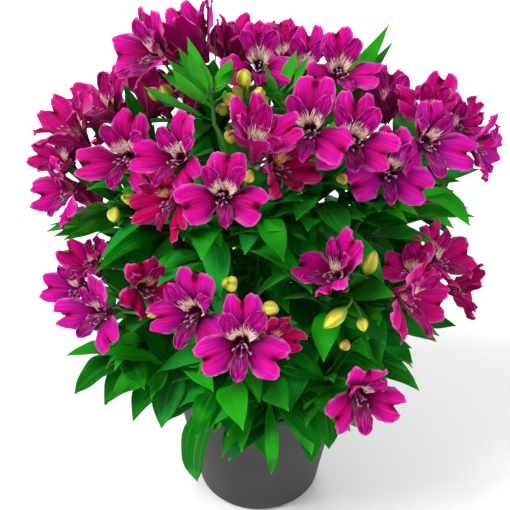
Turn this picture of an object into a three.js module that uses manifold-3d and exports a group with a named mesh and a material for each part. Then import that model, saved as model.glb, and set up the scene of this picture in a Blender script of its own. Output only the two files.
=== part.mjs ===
// A potted peruvian lily (alstroemeria): a plain plastic nursery pot, its soil, twenty
// flowering stems with leafy side shoots, buds and leaves, and the blooms that they carry.
// Millimetres, +Z up. The origin is the centre of the pot's base, and the front faces -Y.
import * as THREE from 'three';
import { mergeVertices } from 'three/addons/utils/BufferGeometryUtils.js';
import Module from 'manifold-3d';

const wasm = await Module();
wasm.setup();

// Driving dimensions of the pot and the soil
const pot = {
  baseRadius: 60,
  topRadius: 85,
  height: 142,
  wall: 1.8,
  floor: 2.5,
  heelRound: 6,
  rimHeight: 11,
  rimOut: 2.4,
  drainHoles: 6,
  drainRadius: 5,
  drainCircle: 42,
  segments: 20,
};
const soil = { top: 125, crown: 2, holeFloor: 92 };
const seatGap = 0.3;

// A bloom: two whorls of three tepals on a small hub, with the stamens as one slim cone
const bloom = { hubRadius: 3.2, hubDepth: 3, rib: 0.55, stamenLength: 22, stamenSag: 5 };
const outerTepal = {
  length: 49, startAngle: 16, closedAngle: 30, openAngle: 92,
  wideAt: 0.7, wideWidth: 14.6, cup: 0.8, lobeWidth: 8.6, notchAt: 0.93,
};
const innerTepal = {
  length: 47, startAngle: 8, closedAngle: 22, openAngle: 80,
  wideAt: 0.62, wideWidth: 8, cup: 0.8,
};
const tepals = [
  { turn: 90, shape: outerTepal }, { turn: 150, shape: innerTepal },
  { turn: 210, shape: outerTepal }, { turn: 270, shape: innerTepal },
  { turn: 330, shape: outerTepal }, { turn: 30, shape: innerTepal },
];
const curveSteps = 24;
const bendPower = 1.3;

// Green parts
const stem = {
  footRadius: 2.6, headRadius: 1.9, sides: 4, steps: 4, straightTop: 129,
  knobRadius: 3.8, knobLength: 5,
};
const shoot = { rootRadius: 2.4, tipRadius: 1.9, sides: 3, steps: 3, rootHeight: 133 };
const stalk = { radius: 1.15, ovaryRadius: 2.7, ovaryLength: 7, sides: 3 };
const leaf = { rootBack: 0.8, neckAt: 0.13, neckWidth: 0.36, neckKeel: 1.5, wideAt: 0.5, keel: 1 };
const clearance = 0.35;

// Flowering stems: where each leaves the soil, and the head where its flower stalks fan out
const stems = [
  { name: 'top_left', foot: [-20, 22], head: [-42, 48, 370], leaves: 3 },
  { name: 'top_right', foot: [12, 26], head: [28, 44, 360], leaves: 3 },
  { name: 'upper_right', foot: [26, -14], head: [48, -26, 345], leaves: 5 },
  { name: 'centre', foot: [2, -24], head: [-2, -46, 335], leaves: 5 },
  { name: 'centre_left', foot: [-24, -20], head: [-40, -52, 322], leaves: 5 },
  { name: 'left', foot: [-42, 4], head: [-80, 16, 325], leaves: 4 },
  { name: 'far_left', foot: [-60, 16], head: [-112, 22, 296], leaves: 4 },
  { name: 'right', foot: [46, 6], head: [96, 2, 318], leaves: 4 },
  { name: 'far_right', foot: [62, 14], head: [128, 16, 330], leaves: 5 },
  { name: 'low_left', foot: [-56, -22], head: [-100, -42, 222], leaves: 5 },
  { name: 'low_front', foot: [-10, -56], head: [-16, -88, 238], leaves: 6 },
  { name: 'front_right', foot: [42, -38], head: [58, -74, 258], leaves: 6 },
  { name: 'low_right', foot: [58, -14], head: [104, -38, 232], leaves: 5 },
  { name: 'foot_right', foot: [22, -62], head: [52, -94, 184], leaves: 4 },
  { name: 'back', foot: [-4, 44], head: [-4, 76, 345], leaves: 3 },
  { name: 'back_left', foot: [-38, 38], head: [-78, 76, 300], leaves: 4 },
  { name: 'back_right', foot: [38, 40], head: [84, 76, 302], leaves: 4 },
  { name: 'back_low_left', foot: [-54, 42], head: [-108, 58, 228], leaves: 3 },
  { name: 'back_low_right', foot: [56, 42], head: [110, 56, 232], leaves: 3 },
  { name: 'back_low', foot: [0, 68], head: [0, 104, 236], leaves: 3 },
];

// Leafy shoots without flowers, each growing from the foot of a flowering stem, with the number
// of leaves that the seeded rule gives them and their size
const shoots = [
  { stem: 'centre', tip: [-36, -28, 402], leaves: 0, size: 1 },
  { stem: 'top_right', tip: [22, -8, 408], leaves: 0, size: 1 },
  { stem: 'low_front', tip: [-36, -104, 194], leaves: 6, size: 1 },
  { stem: 'foot_right', tip: [6, -108, 192], leaves: 6, size: 1 },
  { stem: 'foot_right', tip: [64, -84, 180], leaves: 3, size: 0.8 },
  { stem: 'low_left', tip: [-78, -86, 204], leaves: 6, size: 1 },
  { stem: 'low_left', tip: [-118, -56, 196], leaves: 6, size: 1 },
  { stem: 'low_right', tip: [96, -56, 198], leaves: 4, size: 0.72 },
  { stem: 'low_right', tip: [116, -28, 204], leaves: 3, size: 0.72 },
  { stem: 'far_left', tip: [-134, 6, 196], leaves: 4, size: 1 },
  { stem: 'far_right', tip: [132, 24, 198], leaves: 4, size: 0.8 },
  { stem: 'back_low_left', tip: [-92, 92, 188], leaves: 4, size: 1 },
  { stem: 'back_low_right', tip: [92, 94, 186], leaves: 4, size: 1 },
  { stem: 'back_low', tip: [-34, 118, 190], leaves: 4, size: 1 },
  { stem: 'back_low', tip: [36, 118, 186], leaves: 4, size: 1 },
];

// Blooms: the stem that carries it, the base of the bloom, where it faces (azimuth from the
// front towards +X, and elevation), its size, how far it is open, and its age
const blooms = [
  ['top_left', [-68, 12, 439], -35, 30, 0.88, 0.8, 0],
  ['top_left', [-65, 75, 407], -100, 55, 0.9, 0.6, 0.2],
  ['top_left', [-44, 34, 427], -28, 62, 1, 0.6, 0],
  ['top_left', [-48, 74, 412], 30, 84, 1, 0.4, 0.3],
  ['top_left', [-27, 54, 416], 45, 66, 0.9, 0.7, 0.2],
  ['top_right', [-2, 22, 425], 5, 45, 0.92, 0.9, 0],
  ['top_right', [21, 82, 404], 10, 72, 0.9, 0.6, 0.3],
  ['top_right', [40, 49, 408], -20, 58, 0.92, 0.8, 0],
  ['top_right', [61, 18, 421], 12, 44, 0.92, 0.9, 0],
  ['upper_right', [69, -39, 388], 5, 38, 1.03, 1, 0],
  ['upper_right', [39, -57, 405], -12, 40, 1, 0.95, 0],
  ['centre', [-6, -81, 395], 22, 58, 1, 0.75, 0],
  ['centre', [1, -56, 376], 62, 5, 0.85, 0.6, 0.9],
  ['centre_left', [-27, -113, 381], 3, 40, 1, 1, 0],
  ['centre_left', [-54, -64, 386], -24, 38, 1, 1, 0],
  ['centre_left', [-59, -54, 355], -45, -5, 0.85, 0.6, 0.8],
  ['left', [-101, -13, 362], -24, 34, 0.98, 0.95, 0],
  ['left', [-60, 11, 389], 30, 80, 0.85, 0.4, 0.3],
  ['left', [-99, 65, 360], 150, 58, 1, 0.6, 0.9],
  ['left', [-122, 54, 364], -110, 42, 0.82, 0.7, 0.3],
  ['far_left', [-148, 2, 331], -42, 8, 0.92, 0.85, 0],
  ['far_left', [-163, 37, 328], -82, 10, 0.95, 0.75, 0.2],
  ['far_left', [-145, 18, 357], -110, 32, 0.9, 0.7, 0.2],
  ['right', [100, -31, 362], 3, 28, 0.97, 1, 0],
  ['right', [110, 48, 367], 50, 78, 1, 0.5, 0.1],
  ['right', [128, -5, 375], 25, 24, 1, 1, 0],
  ['far_right', [146, 22, 375], -20, 64, 0.95, 0.6, 0.4],
  ['far_right', [158, 37, 364], 50, 45, 0.8, 0.7, 0.2],
  ['far_right', [163, 49, 362], 88, 12, 0.85, 0.4, 0.3],
  ['far_right', [165, -1, 373], 60, 2, 0.85, 0.85, 0],
  ['low_left', [-122, -75, 254], -26, 28, 0.88, 1, 0],
  ['low_left', [-151, -5, 230], -70, 12, 0.88, 0.8, 0],
  ['low_left', [-138, -26, 256], -95, 50, 0.88, 0.7, 0.3],
  ['low_left', [-101, -84, 286], 12, 32, 0.75, 0.8, 0.9],
  ['low_front', [-43, -114, 282], -26, 28, 0.98, 0.95, 0],
  ['low_front', [-14, -152, 281], 2, 36, 1, 1, 0],
  ['low_front', [1, -126, 267], 45, 18, 0.66, 0.6, 0.9],
  ['front_right', [65, -110, 302], -32, 46, 0.92, 0.9, 0],
  ['low_right', [131, -50, 268], -32, 46, 0.78, 0.7, 0.5],
  ['low_right', [141, -18, 256], 52, 40, 0.9, 0.75, 0.5],
  ['low_right', [101, -91, 286], 42, -2, 0.88, 0.85, 0.3],
  ['low_right', [161, -14, 236], 72, -6, 0.75, 0.6, 0.8],
  ['foot_right', [72, -130, 223], 3, 22, 0.9, 0.95, 0],
  ['back', [-30, 92, 398], 170, 52, 0.95, 0.9, 0],
  ['back', [4, 104, 394], 195, 42, 1, 0.95, 0],
  ['back', [36, 90, 396], 150, 58, 0.9, 0.7, 0.3],
  ['back_left', [-84, 108, 344], 216, 38, 1, 0.95, 0],
  ['back_left', [-112, 84, 336], 240, 30, 0.9, 0.8, 0.2],
  ['back_left', [-58, 116, 350], 190, 44, 0.85, 0.7, 0.6],
  ['back_right', [92, 106, 342], 146, 36, 1, 0.95, 0],
  ['back_right', [124, 82, 340], 118, 32, 0.9, 0.85, 0.2],
  ['back_right', [62, 116, 350], 172, 46, 0.85, 0.7, 0.6],
  ['back_low_left', [-146, 76, 262], 244, 22, 0.95, 0.9, 0.2],
  ['back_low_right', [148, 76, 268], 116, 22, 0.95, 0.9, 0.1],
  ['back_low', [-16, 140, 268], 188, 26, 0.95, 0.95, 0],
];

// Buds: the stem, the base of the bud, where it points, its length and its thickest radius
const buds = [
  ['top_right', [-14, 12, 408], -30, 62, 19, 6.5],
  ['top_right', [0, 10, 402], 20, 50, 17, 5.5],
  ['top_left', [-30, 2, 400], -10, 40, 16, 5],
  ['top_left', [-84, 20, 404], -40, 50, 17, 5],
  ['centre', [-22, -44, 394], -20, 60, 16, 4.5],
  ['centre', [-10, -88, 384], 20, 50, 13, 4.5],
  ['left', [-104, -36, 340], -20, 30, 17, 5.5],
  ['far_left', [-122, -28, 326], 10, -10, 18, 5.5],
  ['low_front', [-22, -112, 306], -10, 40, 15, 6],
  ['low_front', [2, -126, 294], 50, 22, 17, 5.5],
  ['low_left', [-88, -98, 270], 20, 30, 13, 4.5],
  ['front_right', [84, -90, 302], 20, 68, 30, 5.5],
  ['front_right', [66, -118, 288], -55, -24, 24, 6],
  ['front_right', [78, -122, 282], 10, -30, 12, 4.5],
  ['front_right', [66, -118, 250], 15, 55, 14, 4.2],
  ['upper_right', [62, -62, 372], 10, 20, 14, 4.2],
  ['back', [-6, 122, 366], 185, 20, 17, 5],
  ['back_left', [-98, 112, 318], 220, 10, 17, 5.5],
  ['back_right', [104, 112, 316], 140, 10, 16, 5],
  ['back_low_left', [-132, 96, 240], 230, 0, 16, 5],
  ['back_low', [2, 146, 244], 178, 0, 16, 5],
];

// Leaves whose place the photograph settles: the stem, the shoot on it (0 is the flowering
// stem itself), how far along it they grow, the tip of the leaf, its width, droop and twist
const placedLeaves = [
  ['low_front', 1, 0.9, [-54, -122, 104], 29, 70, 0],
  ['low_front', 1, 0.75, [-70, -116, 164], 26, 60, 0],
  ['foot_right', 1, 0.92, [10, -130, 122], 24, 70, 0],
  ['foot_right', 1, 0.82, [44, -130, 145], 27, 70, 0],
  ['foot_right', 2, 0.7, [60, -114, 136], 24, 60, 0],
  ['foot_right', 2, 0.5, [34, -122, 126], 23, 60, 0],
  ['low_left', 2, 0.9, [-158, -98, 184], 30, 40, 0],
  ['low_left', 1, 0.9, [-128, -106, 182], 26, 50, 0],
  ['low_left', 1, 0.75, [-108, -110, 164], 26, 60, 0],
  ['low_left', 1, 0.6, [-84, -112, 158], 28, 60, 0],
  ['low_left', 2, 0.95, [-164, -86, 216], 20, 30, 0],
  ['far_left', 0, 0.85, [-186, -12, 300], 22, 30, 0],
  ['far_left', 0, 0.66, [-186, 4, 262], 22, 30, 0],
  ['far_left', 0, 0.6, [-188, -8, 240], 24, 30, 0],
  ['left', 0, 0.95, [-124, -50, 346], 24, 40, 0],
  ['left', 0, 0.85, [-70, -98, 336], 26, 40, 0],
  ['left', 0, 0.75, [-136, -62, 284], 24, 50, 0],
  ['centre_left', 0, 0.9, [26, -124, 316], 27, 50, 0],
  ['centre_left', 0, 0.8, [-80, -106, 300], 26, 50, 0],
  ['centre_left', 0, 0.7, [-34, -122, 300], 26, 50, 0],
  ['centre', 0, 0.95, [28, -88, 364], 26, 40, 0],
  ['centre', 0, 0.8, [40, -116, 300], 26, 50, 0],
  ['upper_right', 0, 0.92, [66, -100, 338], 27, 40, 0],
  ['upper_right', 0, 0.86, [36, -96, 344], 27, 40, 0],
  ['upper_right', 0, 0.8, [74, -84, 344], 26, 40, 0],
  ['upper_right', 0, 0.8, [98, -96, 296], 28, 50, 0],
  ['right', 0, 0.92, [92, -80, 352], 26, 40, 0],
  ['right', 0, 0.9, [166, -12, 334], 22, 40, 35],
  ['right', 0, 0.85, [188, -8, 306], 24, 40, 35],
  ['right', 0, 0.7, [146, -54, 306], 28, 50, 0],
  ['low_right', 2, 0.95, [178, -30, 206], 21, 40, 30],
  ['top_right', 0, 0.95, [108, 52, 458], 24, -20, 60],
  ['top_right', 0, 0.9, [116, 42, 440], 20, -10, 60],
  ['centre', 1, 0.97, [-54, -38, 468], 18, -15, 140],
  ['centre', 1, 0.9, [-68, -44, 456], 18, -15, 140],
  ['centre', 1, 0.82, [-88, -40, 438], 18, -10, 100],
  ['centre', 1, 0.99, [-18, -36, 452], 16, 0, 140],
  ['top_right', 1, 0.97, [6, -30, 446], 15, -10, 100],
  ['top_right', 1, 0.92, [40, -14, 454], 17, -10, 100],
];

// A seeded stream of numbers between 0 and 1
function numberStream(seed) {
  let state = seed;
  return () => {
    state = (state * 1664525 + 1013904223) % 4294967296;
    return state / 4294967296;
  };
}

const radians = (degrees) => (degrees * Math.PI) / 180;
const vector = (list) => new THREE.Vector3(list[0], list[1], list[2]);
const mix = (from, to, share) => from + (to - from) * share;

// Unit vector at an azimuth from the front (-Y) towards +X, and an elevation
function heading(azimuth, elevation) {
  const turn = radians(azimuth);
  const rise = radians(elevation);
  return new THREE.Vector3(
    Math.sin(turn) * Math.cos(rise),
    -Math.cos(turn) * Math.cos(rise),
    Math.sin(rise),
  );
}

// Solid of a closed triangle list, turned so that its faces point out
function solidOf(points, triangles) {
  let volume = 0;
  for (const [a, b, c] of triangles) {
    volume += points[a].dot(new THREE.Vector3().crossVectors(points[b], points[c]));
  }
  const facing = volume > 0 ? triangles : triangles.map(([a, b, c]) => [a, c, b]);
  return new wasm.Manifold(new wasm.Mesh({
    numProp: 3,
    vertProperties: new Float32Array(points.flatMap((point) => point.toArray())),
    triVerts: new Uint32Array(facing.flat()),
  }));
}

// Solid of a three.js geometry whose seams are merged
function solidOfGeometry(geometry) {
  const bare = geometry.clone();
  bare.deleteAttribute('normal');
  bare.deleteAttribute('uv');
  const merged = mergeVertices(bare, 1e-4);
  const place = merged.getAttribute('position');
  const points = [];
  for (let i = 0; i < place.count; i += 1) {
    points.push(new THREE.Vector3().fromBufferAttribute(place, i));
  }
  const triangles = [];
  for (let i = 0; i < merged.index.count; i += 3) {
    const corners = [0, 1, 2].map((k) => merged.index.getX(i + k));
    if (new Set(corners).size === 3) triangles.push(corners);
  }
  return solidOf(points, triangles);
}

// Solid of a chain of rings with the same number of corners, closed at each end in a point
// where one is given, or else flat
function chainSolid(rings, tip, root) {
  const count = rings[0].length;
  const points = rings.flat();
  const triangles = [];
  for (let i = 0; i < rings.length - 1; i += 1) {
    for (let k = 0; k < count; k += 1) {
      const a = i * count + k;
      const b = i * count + ((k + 1) % count);
      triangles.push([a, b, b + count], [a, b + count, a + count]);
    }
  }
  const close = (first, point, turned) => {
    const corners = Array.from({ length: count }, (unused, k) => first + k);
    if (turned) corners.reverse();
    if (point) {
      points.push(point);
      corners.forEach((corner, k) => {
        triangles.push([corner, corners[(k + 1) % count], points.length - 1]);
      });
    } else {
      for (let k = 1; k < count - 1; k += 1) {
        triangles.push([corners[0], corners[k], corners[k + 1]]);
      }
    }
  };
  close(0, root, true);
  close((rings.length - 1) * count, tip, false);
  return solidOf(points, triangles);
}

// Rings of a round chain along a list of points, each with its own radius
function tubeRings(path, radii, sides) {
  let across = new THREE.Vector3(1, 0, 0.1);
  return path.map((point, i) => {
    const before = path[Math.max(i - 1, 0)];
    const after = path[Math.min(i + 1, path.length - 1)];
    const along = after.clone().sub(before).normalize();
    across = across.clone().addScaledVector(along, -across.dot(along)).normalize();
    const third = new THREE.Vector3().crossVectors(along, across);
    return Array.from({ length: sides }, (unused, k) => {
      const angle = (2 * Math.PI * k) / sides;
      return point.clone()
        .addScaledVector(across, radii[i] * Math.cos(angle))
        .addScaledVector(third, radii[i] * Math.sin(angle));
    });
  });
}

// Cubic curve through its two end points
function bezier(start, pullStart, pullEnd, end) {
  return new THREE.CubicBezierCurve3(start, pullStart, pullEnd, end);
}

function outerRadiusAt(height) {
  return mix(pot.baseRadius, pot.topRadius, height / pot.height);
}

// The pot: one turned shell with a rounded heel, a stepped rim and drain holes
function potSolid() {
  const profile = [new THREE.Vector2(0, 0), new THREE.Vector2(pot.baseRadius - pot.heelRound, 0)];
  const heelSteps = 2;
  for (let i = 1; i <= heelSteps; i += 1) {
    const angle = (i / heelSteps) * (Math.PI / 2) * 0.9;
    profile.push(new THREE.Vector2(
      pot.baseRadius - pot.heelRound + (pot.heelRound + 1.2) * Math.sin(angle),
      pot.heelRound * (1 - Math.cos(angle)),
    ));
  }
  const rimFoot = pot.height - pot.rimHeight;
  profile.push(new THREE.Vector2(outerRadiusAt(rimFoot), rimFoot));
  profile.push(new THREE.Vector2(outerRadiusAt(rimFoot) + pot.rimOut, rimFoot + 0.8));
  profile.push(new THREE.Vector2(pot.topRadius + pot.rimOut, pot.height - 1));
  profile.push(new THREE.Vector2(pot.topRadius + pot.rimOut - 1, pot.height));
  profile.push(new THREE.Vector2(pot.topRadius - pot.wall, pot.height));
  profile.push(new THREE.Vector2(innerRadiusAt(pot.heelRound), pot.heelRound));
  profile.push(new THREE.Vector2(pot.baseRadius - pot.heelRound, pot.floor));
  profile.push(new THREE.Vector2(0, pot.floor));
  const shell = new THREE.LatheGeometry(profile, pot.segments);
  shell.rotateX(Math.PI / 2);
  let solid = solidOfGeometry(shell);
  for (let k = 0; k < pot.drainHoles; k += 1) {
    const angle = (2 * Math.PI * (k + 0.5)) / pot.drainHoles;
    const hole = new THREE.CylinderGeometry(pot.drainRadius, pot.drainRadius, 12, 6);
    hole.rotateX(Math.PI / 2);
    hole.translate(pot.drainCircle * Math.cos(angle), pot.drainCircle * Math.sin(angle), 0);
    solid = solid.subtract(solidOfGeometry(hole));
  }
  return solid;
}

function innerRadiusAt(height) {
  return outerRadiusAt(height) - pot.wall;
}

// The soil: a plug that fills the pot, with a plain hole for each stem
function soilSolid() {
  const low = pot.floor + seatGap;
  const shell = new THREE.LatheGeometry([
    new THREE.Vector2(0, low),
    new THREE.Vector2(pot.baseRadius - pot.heelRound - 1, low),
    new THREE.Vector2(innerRadiusAt(pot.heelRound) - 2 * seatGap, pot.heelRound + 1),
    new THREE.Vector2(innerRadiusAt(soil.top - soil.crown) - 2 * seatGap, soil.top - soil.crown),
    new THREE.Vector2(0, soil.top),
  ], pot.segments);
  shell.rotateX(Math.PI / 2);
  let solid = solidOfGeometry(shell);
  const depth = 60;
  for (const each of stems) {
    const radius = stem.footRadius + seatGap * Math.SQRT2;
    const hole = new THREE.CylinderGeometry(radius, radius, depth, stem.sides);
    hole.rotateX(Math.PI / 2);
    hole.translate(each.foot[0], each.foot[1], soil.holeFloor + depth / 2);
    solid = solid.subtract(solidOfGeometry(hole));
  }
  return solid;
}

// Course of a flowering stem above the soil, leaning out from its foot to its head
function stemCurve(each) {
  const [x, y] = each.foot;
  const head = vector(each.head);
  const rise = head.z - stem.straightTop;
  return bezier(
    new THREE.Vector3(x, y, stem.straightTop),
    new THREE.Vector3(x, y, stem.straightTop + 0.4 * rise),
    new THREE.Vector3(mix(x, head.x, 0.6), mix(y, head.y, 0.6), head.z - 0.3 * rise),
    head,
  );
}

// Course of a leafy shoot, arching from the foot of its stem over the pot's rim
function shootCurve(each) {
  const mother = stems.find((other) => other.name === each.stem);
  const start = new THREE.Vector3(mother.foot[0], mother.foot[1], shoot.rootHeight);
  const tip = vector(each.tip);
  const rise = tip.z - start.z;
  return bezier(
    start,
    new THREE.Vector3(mix(start.x, tip.x, 0.2), mix(start.y, tip.y, 0.2), start.z + 0.6 * rise),
    new THREE.Vector3(mix(start.x, tip.x, 0.7), mix(start.y, tip.y, 0.7), tip.z - 0.06 * rise),
    tip,
  );
}

// A flowering stem, whose head swells to a small knob where the flower stalks start
function stemSolid(each) {
  const foot = new THREE.Vector3(each.foot[0], each.foot[1], soil.holeFloor + seatGap);
  const course = stemCurve(each).getPoints(stem.steps);
  const head = vector(each.head);
  const before = course[stem.steps - 1];
  const last = head.clone().sub(before).normalize();
  course.splice(stem.steps, 1, head.clone().addScaledVector(last, -stem.knobLength), head);
  const radii = [stem.footRadius, ...course.map((point, i) => (
    mix(stem.footRadius, stem.headRadius, i / stem.steps)
  ))];
  radii[radii.length - 1] = stem.knobRadius;
  const rings = tubeRings([foot, ...course], radii, stem.sides);
  return chainSolid(rings, head.clone().addScaledVector(last, stem.knobRadius));
}

function shootSolid(each) {
  const path = shootCurve(each).getPoints(shoot.steps);
  const radii = path.map((point, i) => mix(shoot.rootRadius, shoot.tipRadius, i / shoot.steps));
  return chainSolid(tubeRings(path, radii, shoot.sides));
}

// Flower stalk: from the head of its stem to a base, arriving along the axis. It ends in a
// swollen ovary close behind a bloom, or in the pointed spindle of a bud, given by its length
// and radius. Sway bends it sideways, and extra fattens it for a clearance test.
function stalkSolid(head, base, axis, sway, bud, extra) {
  const end = bud ? base : base.clone().addScaledVector(axis, -seatGap - extra);
  const reach = end.distanceTo(head);
  const side = new THREE.Vector3(-axis.y, axis.x, 0).normalize();
  const curve = bezier(
    head.clone(),
    head.clone().add(new THREE.Vector3(0, 0, 0.35 * reach)).addScaledVector(side, sway),
    end.clone().addScaledVector(axis, -0.4 * reach).addScaledVector(side, sway),
    end,
  );
  const along = (distance) => end.clone().addScaledVector(axis, distance);
  const path = [curve.getPoint(0), curve.getPoint(0.5)];
  const radii = [stalk.radius, stalk.radius];
  if (bud) {
    path.push(end, along(0.4 * bud.length));
    radii.push(0.4 * bud.radius, bud.radius);
  } else {
    path.push(along(-0.4 * stalk.ovaryLength), end);
    radii.push(stalk.ovaryRadius, 0.8 * stalk.ovaryRadius);
  }
  const rings = tubeRings(path, radii.map((radius) => radius + extra), stalk.sides);
  return chainSolid(rings, bud ? along(bud.length + extra) : null);
}

// Centre line of a tepal in the plane of its axis: distance out, distance ahead and lean
function tepalLine(shape, size, open, lift) {
  const endAngle = mix(shape.closedAngle, shape.openAngle, open) + lift;
  const length = shape.length * size;
  const line = [{ out: bloom.hubRadius * size, ahead: 0, lean: shape.startAngle }];
  for (let i = 0; i < curveSteps; i += 1) {
    const share = ((i + 0.5) / curveSteps) ** bendPower;
    const lean = mix(shape.startAngle, endAngle, share);
    const before = line[i];
    line.push({
      out: before.out + (length / curveSteps) * Math.sin(radians(lean)),
      ahead: before.ahead + (length / curveSteps) * Math.cos(radians(lean)),
      lean,
    });
  }
  return line;
}

// The two axes across a bloom: towards its right and towards its upper side
function bloomAxes(axis) {
  const upright = Math.abs(axis.z) > 0.97 ? new THREE.Vector3(0, 1, 0) : new THREE.Vector3(0, 0, 1);
  const upper = upright.addScaledVector(axis, -upright.dot(axis)).normalize();
  return { right: new THREE.Vector3().crossVectors(upper, axis), upper };
}

// One bloom as a single closed mesh. Six tepals leave a ring of shared corners on the hub;
// each has a middle rib on both faces and sharp edges, and the outer three end in two lobes
function bloomSolid(base, azimuth, elevation, size, open, seed) {
  const axis = heading(azimuth, elevation);
  const { right, upper } = bloomAxes(axis);
  const random = numberStream(seed);
  const roll = mix(-7, 7, random());
  const hub = base.clone().addScaledVector(axis, bloom.hubDepth * size);
  const points = [];
  const triangles = [];
  const add = (point) => points.push(point) - 1;
  const radial = (degrees) => right.clone().multiplyScalar(Math.cos(radians(degrees)))
    .addScaledVector(upper, Math.sin(radians(degrees)));
  const onHub = (degrees, radius) => add(hub.clone()
    .addScaledVector(radial(degrees + roll), radius * size));

  const back = add(base.clone());
  const corners = tepals.map((each) => onHub(each.turn - 30, bloom.hubRadius));
  const insides = tepals.map((each) => onHub(each.turn, bloom.hubRadius - 0.7));
  const outsides = tepals.map((each) => onHub(each.turn, bloom.hubRadius + 0.7));

  tepals.forEach(({ turn, shape }, index) => {
    const lift = mix(-6, 6, random());
    const out = radial(turn + roll);
    const across = new THREE.Vector3().crossVectors(axis, out);
    const line = tepalLine(shape, size, open, lift);
    const place = (share, width, ahead) => {
      const spot = line[Math.round(share * curveSteps)];
      const front = axis.clone().multiplyScalar(Math.sin(radians(spot.lean)))
        .addScaledVector(out, -Math.cos(radians(spot.lean)));
      return add(hub.clone()
        .addScaledVector(out, spot.out)
        .addScaledVector(axis, spot.ahead)
        .addScaledVector(across, width * size)
        .addScaledVector(front, ahead));
    };
    const ring = (share, width, cup) => [
      place(share, -width, 0),
      place(share, 0, bloom.rib - cup),
      place(share, width, 0),
      place(share, 0, -bloom.rib - cup),
    ];
    const wide = ring(shape.wideAt, shape.wideWidth, shape.cup);
    const root = [corners[index], insides[index], corners[(index + 1) % 6], outsides[index]];
    for (let k = 0; k < 4; k += 1) {
      const next = (k + 1) % 4;
      const even = k % 2 === 0;
      triangles.push([root[k], root[next], even ? wide[next] : wide[k]]);
      triangles.push([even ? root[k] : root[next], wide[next], wide[k]]);
    }
    if (shape === outerTepal) {
      const left = place(1, -shape.lobeWidth, 0);
      const rightLobe = place(1, shape.lobeWidth, 0);
      const notch = place(shape.notchAt, 0, 0);
      triangles.push([wide[0], wide[1], left], [wide[1], notch, left]);
      triangles.push([wide[1], rightLobe, notch], [wide[1], wide[2], rightLobe]);
      triangles.push([wide[3], wide[0], left], [wide[3], left, notch]);
      triangles.push([wide[3], notch, rightLobe], [wide[3], rightLobe, wide[2]]);
    } else {
      const tip = place(1, 0, 0);
      for (let k = 0; k < 4; k += 1) triangles.push([wide[k], wide[(k + 1) % 4], tip]);
    }
  });

  // The back of the hub runs to a point at the base, and its front to the tip of the stamens,
  // which sag towards the lower side
  const stamens = add(hub.clone()
    .addScaledVector(axis, bloom.stamenLength * size)
    .addScaledVector(upper, -bloom.stamenSag * size));
  tepals.forEach((each, index) => {
    const next = corners[(index + 1) % 6];
    triangles.push([corners[index], outsides[index], back], [outsides[index], next, back]);
    triangles.push([insides[index], corners[index], stamens], [next, insides[index], stamens]);
  });
  return solidOf(points, triangles);
}

// Course of a leaf from its root to its tip: it starts at an angle and bows by its droop
function leafCourse(root, tip, droop) {
  const lean = (share) => -droop * share ** bendPower;
  let level = 0;
  let height = 0;
  for (let i = 0; i < curveSteps; i += 1) {
    const angle = radians(lean((i + 0.5) / curveSteps));
    level += Math.cos(angle) / curveSteps;
    height += Math.sin(angle) / curveSteps;
  }
  const span = tip.clone().sub(root);
  const flat = Math.hypot(span.x, span.y);
  const azimuth = THREE.MathUtils.radToDeg(Math.atan2(span.x, -span.y));
  const rise = THREE.MathUtils.radToDeg(Math.atan2(span.z, flat) - Math.atan2(height, level));
  const length = span.length() / Math.hypot(level, height);
  const course = [{ point: root.clone(), along: heading(azimuth, rise) }];
  for (let i = 0; i < curveSteps; i += 1) {
    const along = heading(azimuth, rise + lean((i + 0.5) / curveSteps));
    const point = course[i].point.clone().addScaledVector(along, length / curveSteps);
    course.push({ point, along });
  }
  return { course, side: heading(azimuth + 90, 0), length };
}

// Leaf: a keeled blade from a point inside its stem to its tip. Extra fattens it for a
// clearance test, and free leaves out the stretch before its neck.
function leafSolid({ root, tip, width, droop, twist }, extra, free) {
  const { course, side } = leafCourse(root, tip, droop);
  const rings = [
    [leaf.neckAt, width * leaf.neckWidth, leaf.neckKeel], [leaf.wideAt, width, leaf.keel],
  ].map(([share, breadth, depth]) => {
    const { point, along } = course[Math.round(share * curveSteps)];
    const upright = new THREE.Vector3().crossVectors(along, side).normalize();
    const angle = radians(twist * share);
    const across = side.clone().multiplyScalar(Math.cos(angle))
      .addScaledVector(upright, Math.sin(angle));
    const up = upright.multiplyScalar(Math.cos(angle)).addScaledVector(side, -Math.sin(angle));
    const half = breadth / 2 + 2 * extra;
    const top = point.clone().addScaledVector(up, extra);
    return [
      top.clone().addScaledVector(across, -half),
      top.clone().addScaledVector(across, half),
      top.clone().addScaledVector(up, -depth - 2 * extra),
    ];
  });
  const end = course[curveSteps].point.clone().addScaledVector(course[curveSteps].along, 2 * extra);
  const back = free ? null : root.clone().addScaledVector(course[0].along, -leaf.rootBack);
  return chainSolid(rings, end, back);
}

// Everything placed so far, with its owner, to keep new pieces clear of other nodes
const placed = [];

function boxesMeet(first, second) {
  return first.min.every((low, k) => low <= second.max[k] && second.min[k] <= first.max[k]);
}

function isClear(solid, owner) {
  const box = solid.boundingBox();
  return placed.every((other) => {
    if (other.owner === owner || !boxesMeet(box, other.box)) return true;
    return solid.intersect(other.solid).isEmpty();
  });
}

function settle(solid, owner) {
  placed.push({ solid, owner, box: solid.boundingBox() });
  return solid;
}

// Turns and lifts that a leaf tries, in order, until it is clear of the other nodes
const leafTries = [0, 18, -18].flatMap((lift) => (
  [0, 22, -22, 44, -44, 70, -70, 100, -100].map((turn) => ({ turn, lift }))
));

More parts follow.
